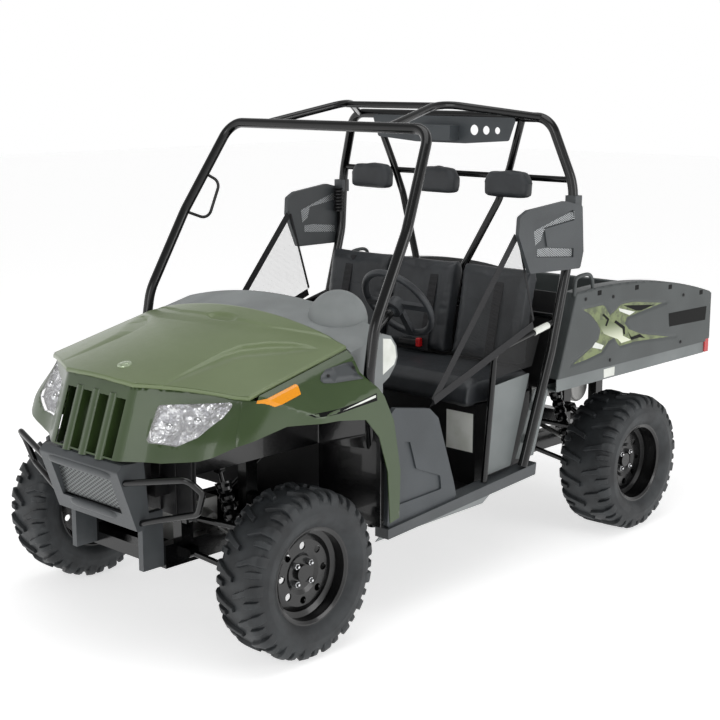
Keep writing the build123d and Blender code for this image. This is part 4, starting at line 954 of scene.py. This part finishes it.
def swept(name, points, section, material, body="chassis", flat=None):
    """A bar swept along points with a section of (across, up) points; flat keeps the section's across in one plane."""
    bm = bmesh.new()
    rings = []
    for i, point in enumerate(points):
        ahead = (points[min(i + 1, len(points) - 1)] - points[max(i - 1, 0)]).normalized()
        up = Vector(flat) if flat is not None else (Vector((1, 0, 0)) if abs(ahead.x) < 0.9 else Vector((0, 1, 0)))
        across = ahead.cross(up).normalized()
        up = across.cross(ahead)
        rings.append([bm.verts.new(point + a * across + b * up) for a, b in section])
    join_rings(bm, rings)
    return finish_mesh(name, bm, material, body)


handle_x = 0.704
handle_radius = 0.009
handle_line = ((0.512, 1.19), (0.513, 1.245), (0.522, 1.272), (0.56, 1.28), (0.622, 1.282), (0.648, 1.262),
               (0.662, 1.2))
for side, word in sides:
    loop = [Vector((side * handle_x, y, z)) for y, z in handle_line]
    swept("box_handle_" + word, rounded(loop), circle(handle_radius, 14), box_moulding, "cargo_box")

# Side nets ------------------------------------------------
# Fine black netting stretched in each doorway from the shoulder guard to the hip bar, edged in wide webbing, and a
# denser netting below the hip bar. It is drawn tight between its fixings.
def netting(name, pitch, open_part):
    """Black net: thin strands with the open part of each mesh see-through."""
    made, place, shader = new_material(name, rgb(20, 20, 21), 0.6)
    u = place.axis(1) * (1 / pitch)
    v = place.axis(2) * (1 / pitch)
    strand = 1 - (u.fraction() < open_part) * (v.fraction() < open_part)
    feed(shader, "Alpha", strand)
    bump(shader, strand, 0.0008)
    return made


webbing, webbing_place, webbing_shader = new_material("black_webbing", rgb(26, 26, 28), 0.65)
weave = 420  # radians to the metre
weave_y = webbing_place.axis(1) * weave
weave_z = webbing_place.axis(2) * weave
ribs = (weave_y + weave_z).sine() * (weave_z - weave_y).sine()
feed(webbing_shader, "Base Color", (ribs * 0.5 + 0.5).mix(rgb(20, 20, 22), rgb(36, 36, 39)))
bump(webbing_shader, ribs, 0.0005)
door_net = netting("door_netting", 0.006, 0.87)
hip_net = netting("hip_netting", 0.005, 0.45)


def net_piece(name, outline, x, material):
    """One stretched net in the plane of x, with its cut size taken from its outline."""
    bm = flat_sheet(outline, x, 0.04)
    bm.normal_update()
    bmesh.ops.reverse_faces(bm, faces=[face for face in bm.faces if face.normal.x * x < 0])
    made = finish_mesh(name, bm, material)
    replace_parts(made, "side_nets")


net_x = 0.7022
hip_net_x = 0.6638
strap_step = 0.0016  # the lower edge's strap lies over the front one
strap_section = [(-0.017, -0.0012), (0.017, -0.0012), (0.0175, 0), (0.017, 0.0012), (-0.017, 0.0012), (-0.0175, 0)]
thin_section = [(-0.006, -0.001), (0.006, -0.001), (0.006, 0.001), (-0.006, 0.001)]
for side, word in sides:
    for number, (start, end, section) in enumerate((((0.07, 1.498), (-0.462, 0.868), strap_section),
                                                    ((-0.462, 0.868), (0.205, 1.097), strap_section),
                                                    ((0.085, 1.5), (0.208, 1.118), thin_section))):
        strap_x = side * (net_x + strap_step if number == 1 else net_x)
        line = [Vector((strap_x, y, z)) for y, z in (start, end)]
        steps = [line[0].lerp(line[1], i / 12) for i in range(13)]
        swept(f"door_net_web_{word}_{number}", steps, section, webbing, flat=(1, 0, 0))
    net_piece("door_net_" + word, ((0.076, 1.52), (-0.49, 0.842), (0.215, 1.112)), side * net_x, door_net)
    net_piece("hip_net_" + word, ((-0.044, 0.884), (-0.036, 0.985), (-0.005, 1.011), (0.33, 1.08), (0.256, 0.9)),
              side * hip_net_x, hip_net)

# Seat belts -----------------------------------------------
# Black webbing over the top of each seat back and down its front, and one buckle with a red button.
belt_line = ((0.19, 0.905), (0.193, 0.96), (0.262, 1.262), (0.29, 1.303), (0.345, 1.303), (0.372, 1.262))
belt_section = ((-0.0015, -0.024), (0.0015, -0.024), (0.0015, 0.024), (-0.0015, 0.024))
for number, x in enumerate((-0.47, 0.084, 0.47), 1):
    line = rounded([Vector((x, y, z)) for y, z in belt_line], 2)
    strap = swept(f"seat_belt_{number}", line, belt_section, webbing, flat=(1, 0, 0))
    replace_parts(strap, "seat_belts")
boxes("belt_buckle", [((-0.055, 0.168, 0.924), (0.052, 0.192, 0.952))], black_moulding, 0.005, 3)
boxes("belt_release", [((0.052, 0.166, 0.92), (0.076, 0.19, 0.962))], red, 0.004, 3)

# Cab trim -------------------------------------------------
# A moulded cheek closes each end of the dash; plates under the seat and on the cheek are left blank. The steering
# wheel is soft black vinyl, the hip bar has a white sleeve, and ribbed boots cover the guards' hinge posts.
dress(vinyl, "steering_wheel")
cheek_x, cheek_thickness = 0.6255, 0.005
cheek_edge = ((-0.745, 1.15), (-0.69, 1.168), (-0.64, 1.152), (-0.608, 1.11), (-0.6, 1.062), (-0.612, 1.03),
              (-0.65, 0.985), (-0.745, 0.93))
for side, word in sides:
    bm = bmesh.new()
    bm.faces.new([bm.verts.new((side * cheek_x, y, z)) for y, z in cheek_edge])
    cheek = finish_mesh("dash_cheek_" + word, bm, dash_moulding)
    with_modifier(cheek, "SOLIDIFY", thickness=cheek_thickness, offset=0)
    round_edges(cheek, 0.0015)
label_edge = ((-0.7, 1.15), (-0.642, 1.14), (-0.616, 1.105), (-0.609, 1.062), (-0.622, 1.034), (-0.69, 1.0))
film("dash_label", label_edge, white_film, surface_of(bpy.data.objects["dash_cheek_left"]), outside)
boxes("seat_plate", [((0.438, -0.0612, 0.548), (0.588, -0.0602, 0.722))], white_film)
start, end = Vector((0.6933, 0.225, 1.0603)), Vector((0.6988, 0.32, 1.0802))
swept("hip_bar_sleeve", [start.lerp(end, i / 4) for i in range(5)], circle(0.0155, 20), white_film)
boot_ribs = 7
boot_foot, boot_height = 1.492, 0.116
post_x, post_y = 0.703, 0.428
for side, word in sides:
    boot = []
    bm = bmesh.new()
    for step in range(6 * boot_ribs + 1):
        z = boot_foot + boot_height * step / (6 * boot_ribs)
        radius = 0.0215 + 0.0035 * math.cos(2 * math.pi * step / 6)
        boot.append([bm.verts.new((side * post_x + x, post_y + y, z)) for x, y in circle(radius, 20)])
    join_rings(bm, boot)
    finish_mesh("guard_boot_" + word, bm, black_moulding, corner=60)
